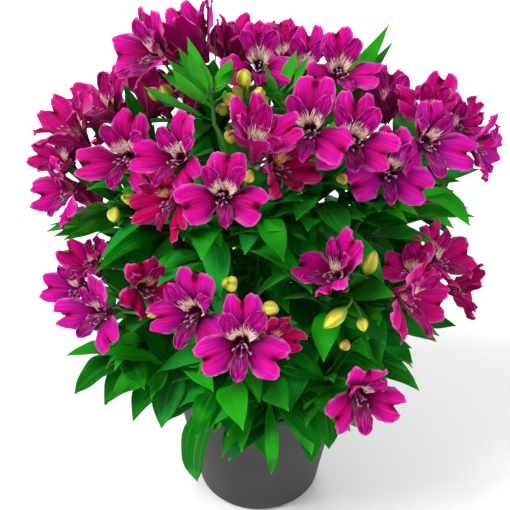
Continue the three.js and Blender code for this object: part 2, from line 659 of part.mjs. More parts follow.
// Leaves of a stem or a shoot, by a seeded rule: they spiral round it, but keep to its outer
// side, and are longest half way up
function ruledLeaves(curve, count, first, last, scale, seed) {
  const random = numberStream(seed);
  return Array.from({ length: count }, (unused, k) => {
    const share = mix(first, last, count > 1 ? k / (count - 1) : 1);
    const root = curve.getPoint(share);
    const outward = THREE.MathUtils.radToDeg(Math.atan2(root.x, -root.y));
    const spiral = (k * 137.5 + 360 * random()) % 360 - 180;
    const length = scale * (95 - 30 * share) * mix(0.85, 1.15, random());
    const width = length * mix(0.3, 0.37, random());
    const rise = mix(-12, 34, random()) + 24 * share - 12;
    const droop = mix(25, 70, random());
    const twist = mix(0, 30, random());
    return leafTries.map(({ turn, lift }) => {
      const azimuth = outward + spiral * 0.6 + turn;
      const tip = root.clone().addScaledVector(heading(azimuth, rise - droop * 0.4 + lift), length);
      return { root, tip, width, droop, twist };
    });
  });
}

// Pot and soil come first, then the blooms, which hold their places
const potBody = settle(potSolid(), 'pot');
const soilBody = settle(soilSolid(), 'soil');
const bloomSolids = blooms.map(([owner, base, azimuth, elevation, size, open], index) => ({
  owner,
  solid: settle(bloomSolid(vector(base), azimuth, elevation, size, open, 100 + index), 'blooms'),
}));

// Green nodes: each flowering stem with its shoots, then stalks and buds, then leaves
const greens = new Map();
for (const each of stems) {
  const solids = [settle(stemSolid(each), each.name)];
  for (const side of shoots.filter((other) => other.stem === each.name)) {
    solids.push(settle(shootSolid(side), each.name));
  }
  greens.set(each.name, solids);
}

// A flower stalk takes the first sway that keeps it clear of the other nodes
const sways = [0, 8, -8, 16, -16, 26, -26, 36, -36];
function growStalk(owner, base, azimuth, elevation, bud) {
  const { head } = stems.find((other) => other.name === owner);
  const grown = (sway, extra) => (
    stalkSolid(vector(head), vector(base), heading(azimuth, elevation), sway, bud, extra)
  );
  const sway = sways.find((each) => isClear(grown(each, clearance), owner));
  greens.get(owner).push(settle(grown(sway, 0), owner));
}
for (const [owner, base, azimuth, elevation] of blooms) {
  growStalk(owner, base, azimuth, elevation, null);
}
for (const [owner, base, azimuth, elevation, length, radius] of buds) {
  growStalk(owner, base, azimuth, elevation, { length, radius });
}

// A leaf takes the first choice that is clear of every other node, and of its own node past
// its root. Where there is none, it is left out.
function growLeaf(choices, owner) {
  const choice = choices.find((each) => (
    isClear(leafSolid(each, clearance, false), owner) && isClear(leafSolid(each, 0, true), '')
  ));
  if (choice) greens.get(owner).push(settle(leafSolid(choice, 0, false), owner));
}

function curveOf(owner, number) {
  if (number === 0) return stemCurve(stems.find((other) => other.name === owner));
  return shootCurve(shoots.filter((other) => other.stem === owner)[number - 1]);
}

for (const [owner, number, share, tip, width, droop, twist] of placedLeaves) {
  const root = curveOf(owner, number).getPoint(share);
  const span = vector(tip).sub(root);
  const choices = [0, 6, -6, 12, -12, 18, -18, 26, -26, 36, -36].map((turn) => ({
    root,
    tip: root.clone().add(span.clone().applyAxisAngle(new THREE.Vector3(0, 0, 1), radians(turn))),
    width,
    droop,
    twist,
  }));
  growLeaf(choices, owner);
}
stems.forEach((each, index) => {
  const own = shoots.filter((other) => other.stem === each.name);
  const rules = own.map((side, k) => (
    ruledLeaves(shootCurve(side), side.leaves, 0.45, 1, side.size, 31 * index + k + 7)
  ));
  rules.push(ruledLeaves(stemCurve(each), each.leaves, 0.36, 0.97, 1, 500 + index));
  rules.flat().forEach((choices) => growLeaf(choices, each.name));
});

// Materials, with the colours of the photograph
const material = (color, roughness) => new THREE.MeshStandardMaterial({ color, roughness });
const looks = {
  pot: material(0x4a4748, 0.55),
  soil: material(0x3b2a1e, 0.95),
  green: material(0x14821a, 0.5),
  bloom: material(0xd0119f, 0.45),
};

function meshOf(solid, look, name) {
  const data = solid.getMesh();
  const geometry = new THREE.BufferGeometry();
  geometry.setAttribute('position', new THREE.BufferAttribute(data.vertProperties, 3));
  geometry.setIndex(new THREE.BufferAttribute(data.triVerts, 1));
  geometry.computeVertexNormals();
  const mesh = new THREE.Mesh(geometry, look);
  mesh.name = name;
  return mesh;
}

const plant = new THREE.Group();
plant.add(meshOf(potBody, looks.pot, 'pot'));
plant.add(meshOf(soilBody, looks.soil, 'soil'));
for (const [name, solids] of greens) {
  const body = wasm.Manifold.union(solids).decompose()
    .sort((one, other) => other.volume() - one.volume())[0];
  plant.add(meshOf(body, looks.green, `stem_${name}`));
}

// Blooms that touch are fused, and each body that holds together is one node
const clusters = wasm.Manifold.union(bloomSolids.map(({ solid }) => solid)).decompose();
const counts = new Map();
for (const cluster of clusters.filter((body) => body.volume() > 100)) {
  const member = bloomSolids.find(({ solid }) => !solid.intersect(cluster).isEmpty());
  const count = (counts.get(member.owner) ?? 0) + 1;
  counts.set(member.owner, count);
  plant.add(meshOf(cluster, looks.bloom, `blooms_${member.owner}_${count}`));
}

export default plant;
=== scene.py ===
import math
from functools import partial

import bpy
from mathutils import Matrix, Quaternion, Vector, kdtree
from mathutils.bvhtree import BVHTree


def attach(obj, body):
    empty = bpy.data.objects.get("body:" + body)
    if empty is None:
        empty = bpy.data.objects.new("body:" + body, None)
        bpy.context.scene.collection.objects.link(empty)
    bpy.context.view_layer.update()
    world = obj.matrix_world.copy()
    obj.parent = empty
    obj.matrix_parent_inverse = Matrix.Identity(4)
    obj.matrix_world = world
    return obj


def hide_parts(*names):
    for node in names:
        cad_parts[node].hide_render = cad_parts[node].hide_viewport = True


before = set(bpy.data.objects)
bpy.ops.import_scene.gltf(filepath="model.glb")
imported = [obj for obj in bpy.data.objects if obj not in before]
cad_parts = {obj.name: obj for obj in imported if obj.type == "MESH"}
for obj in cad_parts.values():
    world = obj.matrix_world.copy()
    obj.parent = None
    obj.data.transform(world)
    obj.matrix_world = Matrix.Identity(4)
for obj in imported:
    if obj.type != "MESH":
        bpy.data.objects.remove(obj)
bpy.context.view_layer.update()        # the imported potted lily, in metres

mm = 0.001

# Camera, at the height and tilt of the photograph's
cameraChoices = {
    "place": (-4, -685, 691),    # mm
    "tiltDown": 32,              # degrees below the horizon
    "lens": 63.5,                # mm
    "sensor": 36,                # mm across
}
cameraData = bpy.data.cameras.new("camera")
cameraData.lens = cameraChoices["lens"]
cameraData.sensor_width = cameraChoices["sensor"]
camera = bpy.data.objects.new("camera", cameraData)
camera.location = Vector(cameraChoices["place"]) * mm
camera.rotation_euler = (math.radians(90 - cameraChoices["tiltDown"]), 0, 0)
bpy.context.scene.collection.objects.link(camera)
bpy.context.scene.camera = camera
print("camera placed")

# Flowering stems: where each leaves the soil, the head where its flower stalks fan out, and how
# many leaves the rule gives it
stemTable = {
    "top_left": ((-20, 22), (-42, 48, 370), 3),
    "top_right": ((12, 26), (28, 44, 360), 3),
    "upper_right": ((26, -14), (48, -26, 345), 5),
    "centre": ((2, -24), (-2, -46, 335), 5),
    "centre_left": ((-24, -20), (-40, -52, 322), 5),
    "left": ((-42, 4), (-80, 16, 325), 4),
    "far_left": ((-60, 16), (-112, 22, 296), 4),
    "right": ((46, 6), (96, 2, 318), 4),
    "far_right": ((62, 14), (128, 16, 330), 5),
    "low_left": ((-56, -22), (-100, -42, 222), 5),
    "low_front": ((-10, -56), (-16, -88, 238), 6),
    "front_right": ((42, -38), (58, -74, 258), 6),
    "low_right": ((58, -14), (104, -38, 232), 5),
    "foot_right": ((22, -62), (52, -94, 184), 4),
    "back": ((-4, 44), (-4, 76, 345), 3),
    "back_left": ((-38, 38), (-78, 76, 300), 4),
    "back_right": ((38, 40), (84, 76, 302), 4),
    "back_low_left": ((-54, 42), (-108, 58, 228), 3),
    "back_low_right": ((56, 42), (110, 56, 232), 3),
    "back_low": ((0, 68), (0, 104, 236), 3),
}

# Leafy shoots: the stem each grows from, its tip, how many leaves the rule gives it, their size
shootTable = [
    ("centre", (-36, -28, 402), 0, 1),
    ("top_right", (22, -8, 408), 0, 1),
    ("low_front", (-36, -104, 194), 6, 1),
    ("foot_right", (6, -108, 192), 6, 1),
    ("foot_right", (64, -84, 180), 3, 0.8),
    ("low_left", (-78, -86, 204), 6, 1),
    ("low_left", (-118, -56, 196), 6, 1),
    ("low_right", (96, -56, 198), 4, 0.72),
    ("low_right", (116, -28, 204), 3, 0.72),
    ("far_left", (-134, 6, 196), 4, 1),
    ("far_right", (132, 24, 198), 4, 0.8),
    ("back_low_left", (-92, 92, 188), 4, 1),
    ("back_low_right", (92, 94, 186), 4, 1),
    ("back_low", (-34, 118, 190), 4, 1),
    ("back_low", (36, 118, 186), 4, 1),
]

# Blooms: stem, base, azimuth from the front towards +X, elevation, size, how far open, age
bloomTable = [
    ("top_left", (-68, 12, 439), -35, 30, 0.88, 0.8, 0),
    ("top_left", (-65, 75, 407), -100, 55, 0.9, 0.6, 0.2),
    ("top_left", (-44, 34, 427), -28, 62, 1, 0.6, 0),
    ("top_left", (-48, 74, 412), 30, 84, 1, 0.4, 0.3),
    ("top_left", (-27, 54, 416), 45, 66, 0.9, 0.7, 0.2),
    ("top_right", (-2, 22, 425), 5, 45, 0.92, 0.9, 0),
    ("top_right", (21, 82, 404), 10, 72, 0.9, 0.6, 0.3),
    ("top_right", (40, 49, 408), -20, 58, 0.92, 0.8, 0),
    ("top_right", (61, 18, 421), 12, 44, 0.92, 0.9, 0),
    ("upper_right", (69, -39, 388), 5, 38, 1.03, 1, 0),
    ("upper_right", (39, -57, 405), -12, 40, 1, 0.95, 0),
    ("centre", (-6, -81, 395), 22, 58, 1, 0.75, 0),
    ("centre", (1, -56, 376), 62, 5, 0.85, 0.6, 0.9),
    ("centre_left", (-27, -113, 381), 3, 40, 1, 1, 0),
    ("centre_left", (-54, -64, 386), -24, 38, 1, 1, 0),
    ("centre_left", (-59, -54, 355), -45, -5, 0.85, 0.6, 0.8),
    ("left", (-101, -13, 362), -24, 34, 0.98, 0.95, 0),
    ("left", (-60, 11, 389), 30, 80, 0.85, 0.4, 0.3),
    ("left", (-99, 65, 360), 150, 58, 1, 0.6, 0.9),
    ("left", (-122, 54, 364), -110, 42, 0.82, 0.7, 0.3),
    ("far_left", (-148, 2, 331), -42, 8, 0.92, 0.85, 0),
    ("far_left", (-163, 37, 328), -82, 10, 0.95, 0.75, 0.2),
    ("far_left", (-145, 18, 357), -110, 32, 0.9, 0.7, 0.2),
    ("right", (100, -31, 362), 3, 28, 0.97, 1, 0),
    ("right", (110, 48, 367), 50, 78, 1, 0.5, 0.1),
    ("right", (128, -5, 375), 25, 24, 1, 1, 0),
    ("far_right", (146, 22, 375), -20, 64, 0.95, 0.6, 0.4),
    ("far_right", (158, 37, 364), 50, 45, 0.8, 0.7, 0.2),
    ("far_right", (163, 49, 362), 88, 12, 0.85, 0.4, 0.3),
    ("far_right", (165, -1, 373), 60, 2, 0.85, 0.85, 0),
    ("low_left", (-122, -75, 254), -26, 28, 0.88, 1, 0),
    ("low_left", (-151, -5, 230), -70, 12, 0.88, 0.8, 0),
    ("low_left", (-138, -26, 256), -95, 50, 0.88, 0.7, 0.3),
    ("low_left", (-101, -84, 286), 12, 32, 0.75, 0.8, 0.9),
    ("low_front", (-43, -114, 282), -26, 28, 0.98, 0.95, 0),
    ("low_front", (-14, -152, 281), 2, 36, 1, 1, 0),
    ("low_front", (1, -126, 267), 45, 18, 0.66, 0.6, 0.9),
    ("front_right", (65, -110, 302), -32, 46, 0.92, 0.9, 0),
    ("low_right", (131, -50, 268), -32, 46, 0.78, 0.7, 0.5),
    ("low_right", (141, -18, 256), 52, 40, 0.9, 0.75, 0.5),
    ("low_right", (101, -91, 286), 42, -2, 0.88, 0.85, 0.3),
    ("low_right", (161, -14, 236), 72, -6, 0.75, 0.6, 0.8),
    ("foot_right", (72, -130, 223), 3, 22, 0.9, 0.95, 0),
    ("back", (-30, 92, 398), 170, 52, 0.95, 0.9, 0),
    ("back", (4, 104, 394), 195, 42, 1, 0.95, 0),
    ("back", (36, 90, 396), 150, 58, 0.9, 0.7, 0.3),
    ("back_left", (-84, 108, 344), 216, 38, 1, 0.95, 0),
    ("back_left", (-112, 84, 336), 240, 30, 0.9, 0.8, 0.2),
    ("back_left", (-58, 116, 350), 190, 44, 0.85, 0.7, 0.6),
    ("back_right", (92, 106, 342), 146, 36, 1, 0.95, 0),
    ("back_right", (124, 82, 340), 118, 32, 0.9, 0.85, 0.2),
    ("back_right", (62, 116, 350), 172, 46, 0.85, 0.7, 0.6),
    ("back_low_left", (-146, 76, 262), 244, 22, 0.95, 0.9, 0.2),
    ("back_low_right", (148, 76, 268), 116, 22, 0.95, 0.9, 0.1),
    ("back_low", (-16, 140, 268), 188, 26, 0.95, 0.95, 0),
]

# Buds: stem, base, azimuth, elevation, length, thickest radius
budTable = [
    ("top_right", (-14, 12, 408), -30, 62, 19, 6.5),
    ("top_right", (0, 10, 402), 20, 50, 17, 5.5),
    ("top_left", (-30, 2, 400), -10, 40, 16, 5),
    ("top_left", (-84, 20, 404), -40, 50, 17, 5),
    ("centre", (-22, -44, 394), -20, 60, 16, 4.5),
    ("centre", (-10, -88, 384), 20, 50, 13, 4.5),
    ("left", (-104, -36, 340), -20, 30, 17, 5.5),
    ("far_left", (-122, -28, 326), 10, -10, 18, 5.5),
    ("low_front", (-22, -112, 306), -10, 40, 15, 6),
    ("low_front", (2, -126, 294), 50, 22, 17, 5.5),
    ("low_left", (-88, -98, 270), 20, 30, 13, 4.5),
    ("front_right", (84, -90, 302), 20, 68, 30, 5.5),
    ("front_right", (66, -118, 288), -55, -24, 24, 6),
    ("front_right", (78, -122, 282), 10, -30, 12, 4.5),
    ("front_right", (66, -118, 250), 15, 55, 14, 4.2),
    ("upper_right", (62, -62, 372), 10, 20, 14, 4.2),
    ("back", (-6, 122, 366), 185, 20, 17, 5),
    ("back_left", (-98, 112, 318), 220, 10, 17, 5.5),
    ("back_right", (104, 112, 316), 140, 10, 16, 5),
    ("back_low_left", (-132, 96, 240), 230, 0, 16, 5),
    ("back_low", (2, 146, 244), 178, 0, 16, 5),
]

# Leaves with a place of their own: stem, shoot on it (0 is the stem itself), share along it,
# tip, width, droop, twist
leafTable = [
    ("low_front", 1, 0.9, (-54, -122, 104), 29, 70, 0),
    ("low_front", 1, 0.75, (-70, -116, 164), 26, 60, 0),
    ("foot_right", 1, 0.92, (10, -130, 122), 24, 70, 0),
    ("foot_right", 1, 0.82, (44, -130, 145), 27, 70, 0),
    ("foot_right", 2, 0.7, (60, -114, 136), 24, 60, 0),
    ("foot_right", 2, 0.5, (34, -122, 126), 23, 60, 0),
    ("low_left", 2, 0.9, (-158, -98, 184), 30, 40, 0),
    ("low_left", 1, 0.9, (-128, -106, 182), 26, 50, 0),
    ("low_left", 1, 0.75, (-108, -110, 164), 26, 60, 0),
    ("low_left", 1, 0.6, (-84, -112, 158), 28, 60, 0),
    ("low_left", 2, 0.95, (-164, -86, 216), 20, 30, 0),
    ("far_left", 0, 0.85, (-186, -12, 300), 22, 30, 0),
    ("far_left", 0, 0.66, (-186, 4, 262), 22, 30, 0),
    ("far_left", 0, 0.6, (-188, -8, 240), 24, 30, 0),
    ("left", 0, 0.95, (-124, -50, 346), 24, 40, 0),
    ("left", 0, 0.85, (-70, -98, 336), 26, 40, 0),
    ("left", 0, 0.75, (-136, -62, 284), 24, 50, 0),
    ("centre_left", 0, 0.9, (26, -124, 316), 27, 50, 0),
    ("centre_left", 0, 0.8, (-80, -106, 300), 26, 50, 0),
    ("centre_left", 0, 0.7, (-34, -122, 300), 26, 50, 0),
    ("centre", 0, 0.95, (28, -88, 364), 26, 40, 0),
    ("centre", 0, 0.8, (40, -116, 300), 26, 50, 0),
    ("upper_right", 0, 0.92, (66, -100, 338), 27, 40, 0),
    ("upper_right", 0, 0.86, (36, -96, 344), 27, 40, 0),
    ("upper_right", 0, 0.8, (74, -84, 344), 26, 40, 0),
    ("upper_right", 0, 0.8, (98, -96, 296), 28, 50, 0),
    ("right", 0, 0.92, (92, -80, 352), 26, 40, 0),
    ("right", 0, 0.9, (166, -12, 334), 22, 40, 35),
    ("right", 0, 0.85, (188, -8, 306), 24, 40, 35),
    ("right", 0, 0.7, (146, -54, 306), 28, 50, 0),
    ("low_right", 2, 0.95, (178, -30, 206), 21, 40, 30),
    ("top_right", 0, 0.95, (108, 52, 458), 24, -20, 60),
    ("top_right", 0, 0.9, (116, 42, 440), 20, -10, 60),
    ("centre", 1, 0.97, (-54, -38, 468), 18, -15, 140),
    ("centre", 1, 0.9, (-68, -44, 456), 18, -15, 140),
    ("centre", 1, 0.82, (-88, -40, 438), 18, -10, 100),
    ("centre", 1, 0.99, (-18, -36, 452), 16, 0, 140),
    ("top_right", 1, 0.97, (6, -30, 446), 15, -10, 100),
    ("top_right", 1, 0.92, (40, -14, 454), 17, -10, 100),
]


# Small sums shared by every centre line
def numberStream(seed):
    state = seed
    while True:
        state = (state * 1664525 + 1013904223) % 4294967296
        yield state / 4294967296


def mix(low, high, share):
    return low + (high - low) * share


def swing(reach, share):    # from minus a reach to plus a reach
    return mix(-reach, reach, share)


def heading(azimuth, elevation):
    turn = math.radians(azimuth)
    rise = math.radians(elevation)
    return Vector((math.sin(turn) * math.cos(rise), -math.cos(turn) * math.cos(rise), math.sin(rise)))


def bezier(start, pullStart, pullEnd, end, share):
    rest = 1 - share
    return (start * rest ** 3 + pullStart * (3 * rest * rest * share)
            + pullEnd * (3 * rest * share * share) + end * share ** 3)


# How finely a tepal's or a leaf's line is cut, and how late along it the bend comes
curveSteps = 24
bendPower = 1.3

# First seeds. The blooms' and leaves' own repeat those of the solids
seeds = {
    "blooms": 100, "shootLeaves": 7, "stemLeaves": 500,
    "bloomDetail": 1000, "greenDetail": 3000, "innerLeaves": 5000, "soil": 77,
}


# The CAD nodes, to find in them which of its places each leaf and stalk took
def nodePoints(name):
    return [vertex.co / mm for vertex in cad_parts[name].data.vertices]


def cornerTree(name):
    points = nodePoints(name)
    tree = kdtree.KDTree(len(points))
    for index, point in enumerate(points):
        tree.insert(point, index)
    tree.balance()
    return tree


def skinTree(name):
    points = nodePoints(name)
    faces = [tuple(face.vertices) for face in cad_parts[name].data.polygons]
    return BVHTree.FromPolygons(points, faces)


bloomNodes = [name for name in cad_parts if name.startswith("blooms_")]
bloomCorners = {name: cornerTree(name) for name in bloomNodes}
bloomSkins = {name: skinTree(name) for name in bloomNodes}
stemCorners = {name: cornerTree("stem_" + name) for name in stemTable}
stemSkins = {name: skinTree("stem_" + name) for name in stemTable}
print("frame read:", len(bloomNodes), "bloom nodes,", len(stemTable), "stems")


class Lines:
    # Centre lines of one piece: edges whose points carry a part number, a half width, an up
    # direction and a mood, which is a chance and an age (in leaves, how young they are)
    def __init__(self):
        self.points = []
        self.edges = []
        self.parts = []
        self.halves = []
        self.ups = []
        self.moods = []

    def add(self, part, points, halves, ups, mood):
        first = len(self.points)
        self.points += [point * mm for point in points]
        self.edges += [(first + i, first + i + 1) for i in range(len(points) - 1)]
        self.parts += [part] * len(points)
        self.halves += [half * mm for half in halves]
        self.ups += ups
        self.moods += [(*mood, 0)] * len(points)

    def mesh(self, name):
        made = bpy.data.meshes.new(name)
        made.from_pydata(self.points, self.edges, [])
        rows = (("part", "INT", "value", self.parts),
                ("half", "FLOAT", "value", self.halves),
                ("up", "FLOAT_VECTOR", "vector", self.ups),
                ("mood", "FLOAT_VECTOR", "vector", self.moods))
        for title, kind, field, values in rows:
            flat = values if field == "value" else [number for row in values for number in row]
            made.attributes.new(title, kind, "POINT").data.foreach_set(field, flat)
        return made


# Node trees. A Wire is one value on its way through a tree, and sums on it add Math nodes.
def plug(tree, value, socket):
    if isinstance(value, Wire):
        tree.links.new(value.socket, socket)
    elif isinstance(value, bpy.types.NodeSocket):
        tree.links.new(value, socket)
    else:
        socket.default_value = value


class Wire:
    def __init__(self, tree, socket):
        self.tree = tree
        self.socket = socket

    def math(self, operation, *others):
        made = self.tree.nodes.new("ShaderNodeMath")
        made.operation = operation
        for value, socket in zip((self, *others), made.inputs):
            plug(self.tree, value, socket)
        return Wire(self.tree, made.outputs[0])

    def __add__(self, other):
        return self.math("ADD", other)

    def __sub__(self, other):
        return self.math("SUBTRACT", other)

    def __rsub__(self, other):
        return (self * -1) + other

    def __mul__(self, other):
        return self.math("MULTIPLY", other)

    def __truediv__(self, other):
        return self.math("DIVIDE", other)

    def __pow__(self, other):
        return self.math("POWER", other)

    def __abs__(self):
        return self.math("ABSOLUTE")

    __radd__ = __add__

    def over(self, low):    # what is above a value, or nothing
        return (self - low).math("MAXIMUM", 0)

    def wave(self):
        return self.math("SINE")

    def step(self, low, high):    # soft step from 0 at low to 1 at high
        made = addNode(self.tree, "ShaderNodeMapRange", {0: self, 1: low, 2: high},
                       interpolation_type="SMOOTHSTEP")
        return Wire(self.tree, made.outputs[0])


def addNode(tree, kind, inputs=None, **settings):
    made = tree.nodes.new(kind)
    for title, value in settings.items():
        setattr(made, title, value)
    for title, value in (inputs or {}).items():
        if isinstance(title, int):
            socket = made.inputs[title]
        else:
            socket = next(each for each in made.inputs if each.name == title and each.enabled)
        plug(tree, value, socket)
    return made


def vectorSum(tree, operation, *values):
    made = tree.nodes.new("ShaderNodeVectorMath")
    made.operation = operation
    for index, value in enumerate(values):
        scaling = operation == "SCALE" and index == 1
        plug(tree, value, made.inputs["Scale"] if scaling else made.inputs[index])
    return made.outputs[0]


def curveOver(tree, wire, points):    # a value read off a smooth curve through given points
    made = addNode(tree, "ShaderNodeFloatCurve", {"Value": wire})
    line = made.mapping.curves[0]
    for place, height in points[1:-1]:
        line.points.new(place, height)
    line.points[0].location = points[0]
    line.points[-1].location = points[-1]
    made.mapping.update()
    return Wire(tree, made.outputs[0])


def named(tree, title, kind):
    made = addNode(tree, "GeometryNodeInputNamedAttribute", {"Name": title}, data_type=kind)
    return made.outputs[0]


def store(tree, geometry, title, value, kind="FLOAT_VECTOR", domain="POINT"):
    return addNode(tree, "GeometryNodeStoreNamedAttribute",
                   {"Geometry": geometry, "Name": title, "Value": value},
                   data_type=kind, domain=domain).outputs[0]


def newTree(title, choices, materials):
    tree = bpy.data.node_groups.new(title, "GeometryNodeTree")
    tree.interface.new_socket("Geometry", in_out="INPUT", socket_type="NodeSocketGeometry")
    tree.interface.new_socket("Geometry", in_out="OUTPUT", socket_type="NodeSocketGeometry")
    for name, value in choices.items():
        kind = "NodeSocketInt" if isinstance(value, int) else "NodeSocketFloat"
        tree.interface.new_socket(name, in_out="INPUT", socket_type=kind)
    for name in materials:
        tree.interface.new_socket(name, in_out="INPUT", socket_type="NodeSocketMaterial")
    begin = tree.nodes.new("NodeGroupInput")
    wires = {each.name: Wire(tree, each) for each in begin.outputs if each.name}
    return tree, wires


def endTree(tree, geometries):
    joined = tree.nodes.new("GeometryNodeJoinGeometry")
    for geometry in reversed(geometries):
        tree.links.new(geometry, joined.inputs[0])
    real = addNode(tree, "GeometryNodeRealizeInstances", {"Geometry": joined.outputs[0]})
    smooth = addNode(tree, "GeometryNodeSetShadeSmooth", {"Geometry": real.outputs[0]})
    final = tree.nodes.new("NodeGroupOutput")
    tree.links.new(smooth.outputs[0], final.inputs[0])


def painted(tree, geometry, material):
    return addNode(tree, "GeometryNodeSetMaterial", {
        "Geometry": geometry, "Material": material}).outputs[0]


def onlyPart(tree, geometry, low, high):
    part = Wire(tree, named(tree, "part", "INT"))
    inside = part.math("GREATER_THAN", low - 0.5) * part.math("LESS_THAN", high + 0.5)
    return addNode(tree, "GeometryNodeSeparateGeometry",
                   {"Geometry": geometry, "Selection": inside}, domain="POINT").outputs[0]


def grown(title, mesh, tree, choices, materials):    # runs a tree on a mesh of lines
    holder = bpy.data.objects.new(title, mesh)
    bpy.context.scene.collection.objects.link(holder)
    modifier = holder.modifiers.new("grow", "NODES")
    modifier.node_group = tree
    values = {**choices, **materials}
    for item in tree.interface.items_tree:
        if item.in_out == "INPUT" and item.name in values:
            modifier[item.identifier] = values[item.name]
    bpy.context.view_layer.update()
    seen = holder.evaluated_get(bpy.context.evaluated_depsgraph_get())
    made = bpy.data.meshes.new_from_object(seen)
    made.name = title
    holder.modifiers.remove(modifier)
    holder.data = made
    bpy.data.meshes.remove(mesh)
    for spare in ("up", "half", "line", "part"):
        if spare in made.attributes:
            made.attributes.remove(made.attributes[spare])
    return holder


# A thin closed sheet laid along every centre line. Its own coordinates are across (-1 to 1),
# along (0 to 1) and side (-1 below, 1 above); shape turns them into a share of the line, half a
# width and a rise.
def addSheets(tree, lines, cells, thickness, shape):
    curves = addNode(tree, "GeometryNodeMeshToCurve", {"Mesh": lines}).outputs[0]
    box = addNode(tree, "GeometryNodeMeshCube", {
        "Size": (2, 1, 2), "Vertices X": cells[0], "Vertices Y": cells[1], "Vertices Z": 2})
    spot = tree.nodes.new("GeometryNodeInputPosition").outputs[0]
    sheet = store(tree, box.outputs[0], "blade", vectorSum(tree, "ADD", spot, (0, 0.5, 0)))
    starts = addNode(tree, "GeometryNodeCurveEndpointSelection", {"Start Size": 1, "End Size": 0})
    placed = addNode(tree, "GeometryNodeInstanceOnPoints", {
        "Points": curves, "Selection": starts.outputs[0], "Instance": sheet}).outputs[0]
    index = tree.nodes.new("GeometryNodeInputIndex").outputs[0]
    placed = store(tree, placed, "line", index, "INT", "INSTANCE")
    real = addNode(tree, "GeometryNodeRealizeInstances", {"Geometry": placed}).outputs[0]
    parted = addNode(tree, "ShaderNodeSeparateXYZ", {0: named(tree, "blade", "FLOAT_VECTOR")})
    across, along, side = [Wire(tree, each) for each in parted.outputs]
    share, half, rise = shape(across, along)
    sample = addNode(tree, "GeometryNodeSampleCurve", {
        "Curves": curves, "Value": named(tree, "up", "FLOAT_VECTOR"), "Factor": share,
        "Curve Index": named(tree, "line", "INT")}, data_type="FLOAT_VECTOR", mode="FACTOR")
    up, place, tangent = [
        next(each for each in sample.outputs if each.name == title and each.enabled)
        for title in ("Value", "Position", "Tangent")]
    up = vectorSum(tree, "NORMALIZE", up)
    out = vectorSum(tree, "NORMALIZE", vectorSum(tree, "CROSS_PRODUCT", tangent, up))
    thin = side * thickness * 0.5 * (1 - across * across * 0.75) * (1 - along * 0.5)
    place = vectorSum(tree, "ADD", place, vectorSum(tree, "SCALE", out, across * half))
    place = vectorSum(tree, "ADD", place, vectorSum(tree, "SCALE", up, rise + thin))
    return addNode(tree, "GeometryNodeSetPosition", {"Geometry": real, "Position": place}).outputs[0]


# A round tube along every centre line, as thick as its points say; with ribs it swells in as many
def addTubes(tree, lines, sides, ribs=0, depth=0):
    curves = addNode(tree, "GeometryNodeMeshToCurve", {"Mesh": lines}).outputs[0]
    along = tree.nodes.new("GeometryNodeSplineParameter").outputs["Factor"]
    curves = store(tree, curves, "along", along, "FLOAT")
    circle = addNode(tree, "GeometryNodeCurvePrimitiveCircle", {"Resolution": sides, "Radius": 1.0})
    index = Wire(tree, tree.nodes.new("GeometryNodeInputIndex").outputs[0])
    ring = store(tree, circle.outputs[0], "turn", index / sides, "FLOAT")
    swept = addNode(tree, "GeometryNodeCurveToMesh", {
        "Curve": curves, "Profile Curve": ring, "Scale": named(tree, "half", "FLOAT"),
        "Fill Caps": True})
    turn = Wire(tree, named(tree, "turn", "FLOAT"))
    half = Wire(tree, named(tree, "half", "FLOAT"))
    along = Wire(tree, named(tree, "along", "FLOAT"))
    joint = addNode(tree, "ShaderNodeCombineXYZ", {0: turn, 1: along, 2: half}).outputs[0]
    tube = store(tree, swept.outputs[0], "blade", joint)
    if ribs:
        swell = (turn * (2 * math.pi * ribs)).math("COSINE") * half * depth
        facing = tree.nodes.new("GeometryNodeInputNormal").outputs[0]
        tube = addNode(tree, "GeometryNodeSetPosition", {
            "Geometry": tube, "Offset": vectorSum(tree, "SCALE", facing, swell)}).outputs[0]
    return tube


# Colours, given as they look on a screen
def paint(red, green, blue):
    def linear(value):
        share = value / 255
        return share / 12.92 if share <= 0.04045 else ((share + 0.055) / 1.055) ** 2.4
    return (linear(red), linear(green), linear(blue), 1)


def newMaterial(title, roughness, **settings):
    material = bpy.data.materials.new(title)
    material.use_nodes = True
    tree = material.node_tree
    tree.nodes.clear()
    shader = addNode(tree, "ShaderNodeBsdfPrincipled", {"Roughness": roughness, **settings})
    final = tree.nodes.new("ShaderNodeOutputMaterial")
    tree.links.new(shader.outputs[0], final.inputs[0])
    return material, tree, shader


def blend(tree, share, low, high):
    made = addNode(tree, "ShaderNodeMix", {"Factor": share, "A": low, "B": high}, data_type="RGBA")
    return next(each for each in made.outputs if each.enabled)


def bumped(tree, shader, height, strength, distance):
    made = addNode(tree, "ShaderNodeBump", {
        "Height": height, "Strength": strength, "Distance": distance})
    tree.links.new(made.outputs[0], shader.inputs["Normal"])


def readAttribute(tree, title):
    made = addNode(tree, "ShaderNodeAttribute", attribute_name=title)
    parted = addNode(tree, "ShaderNodeSeparateXYZ", {0: made.outputs["Vector"]})
    return [Wire(tree, each) for each in parted.outputs]


def newGroup(title, inputs, outputs):    # its sockets all carry plain numbers
    group = bpy.data.node_groups.new(title, "ShaderNodeTree")
    for name in inputs:
        group.interface.new_socket(name, in_out="INPUT", socket_type="NodeSocketFloat")
    for name in outputs:
        group.interface.new_socket(name, in_out="OUTPUT", socket_type="NodeSocketFloat")
    begin = group.nodes.new("NodeGroupInput")
    final = group.nodes.new("NodeGroupOutput")
    return group, {each.name: Wire(group, each) for each in begin.outputs if each.name}, final


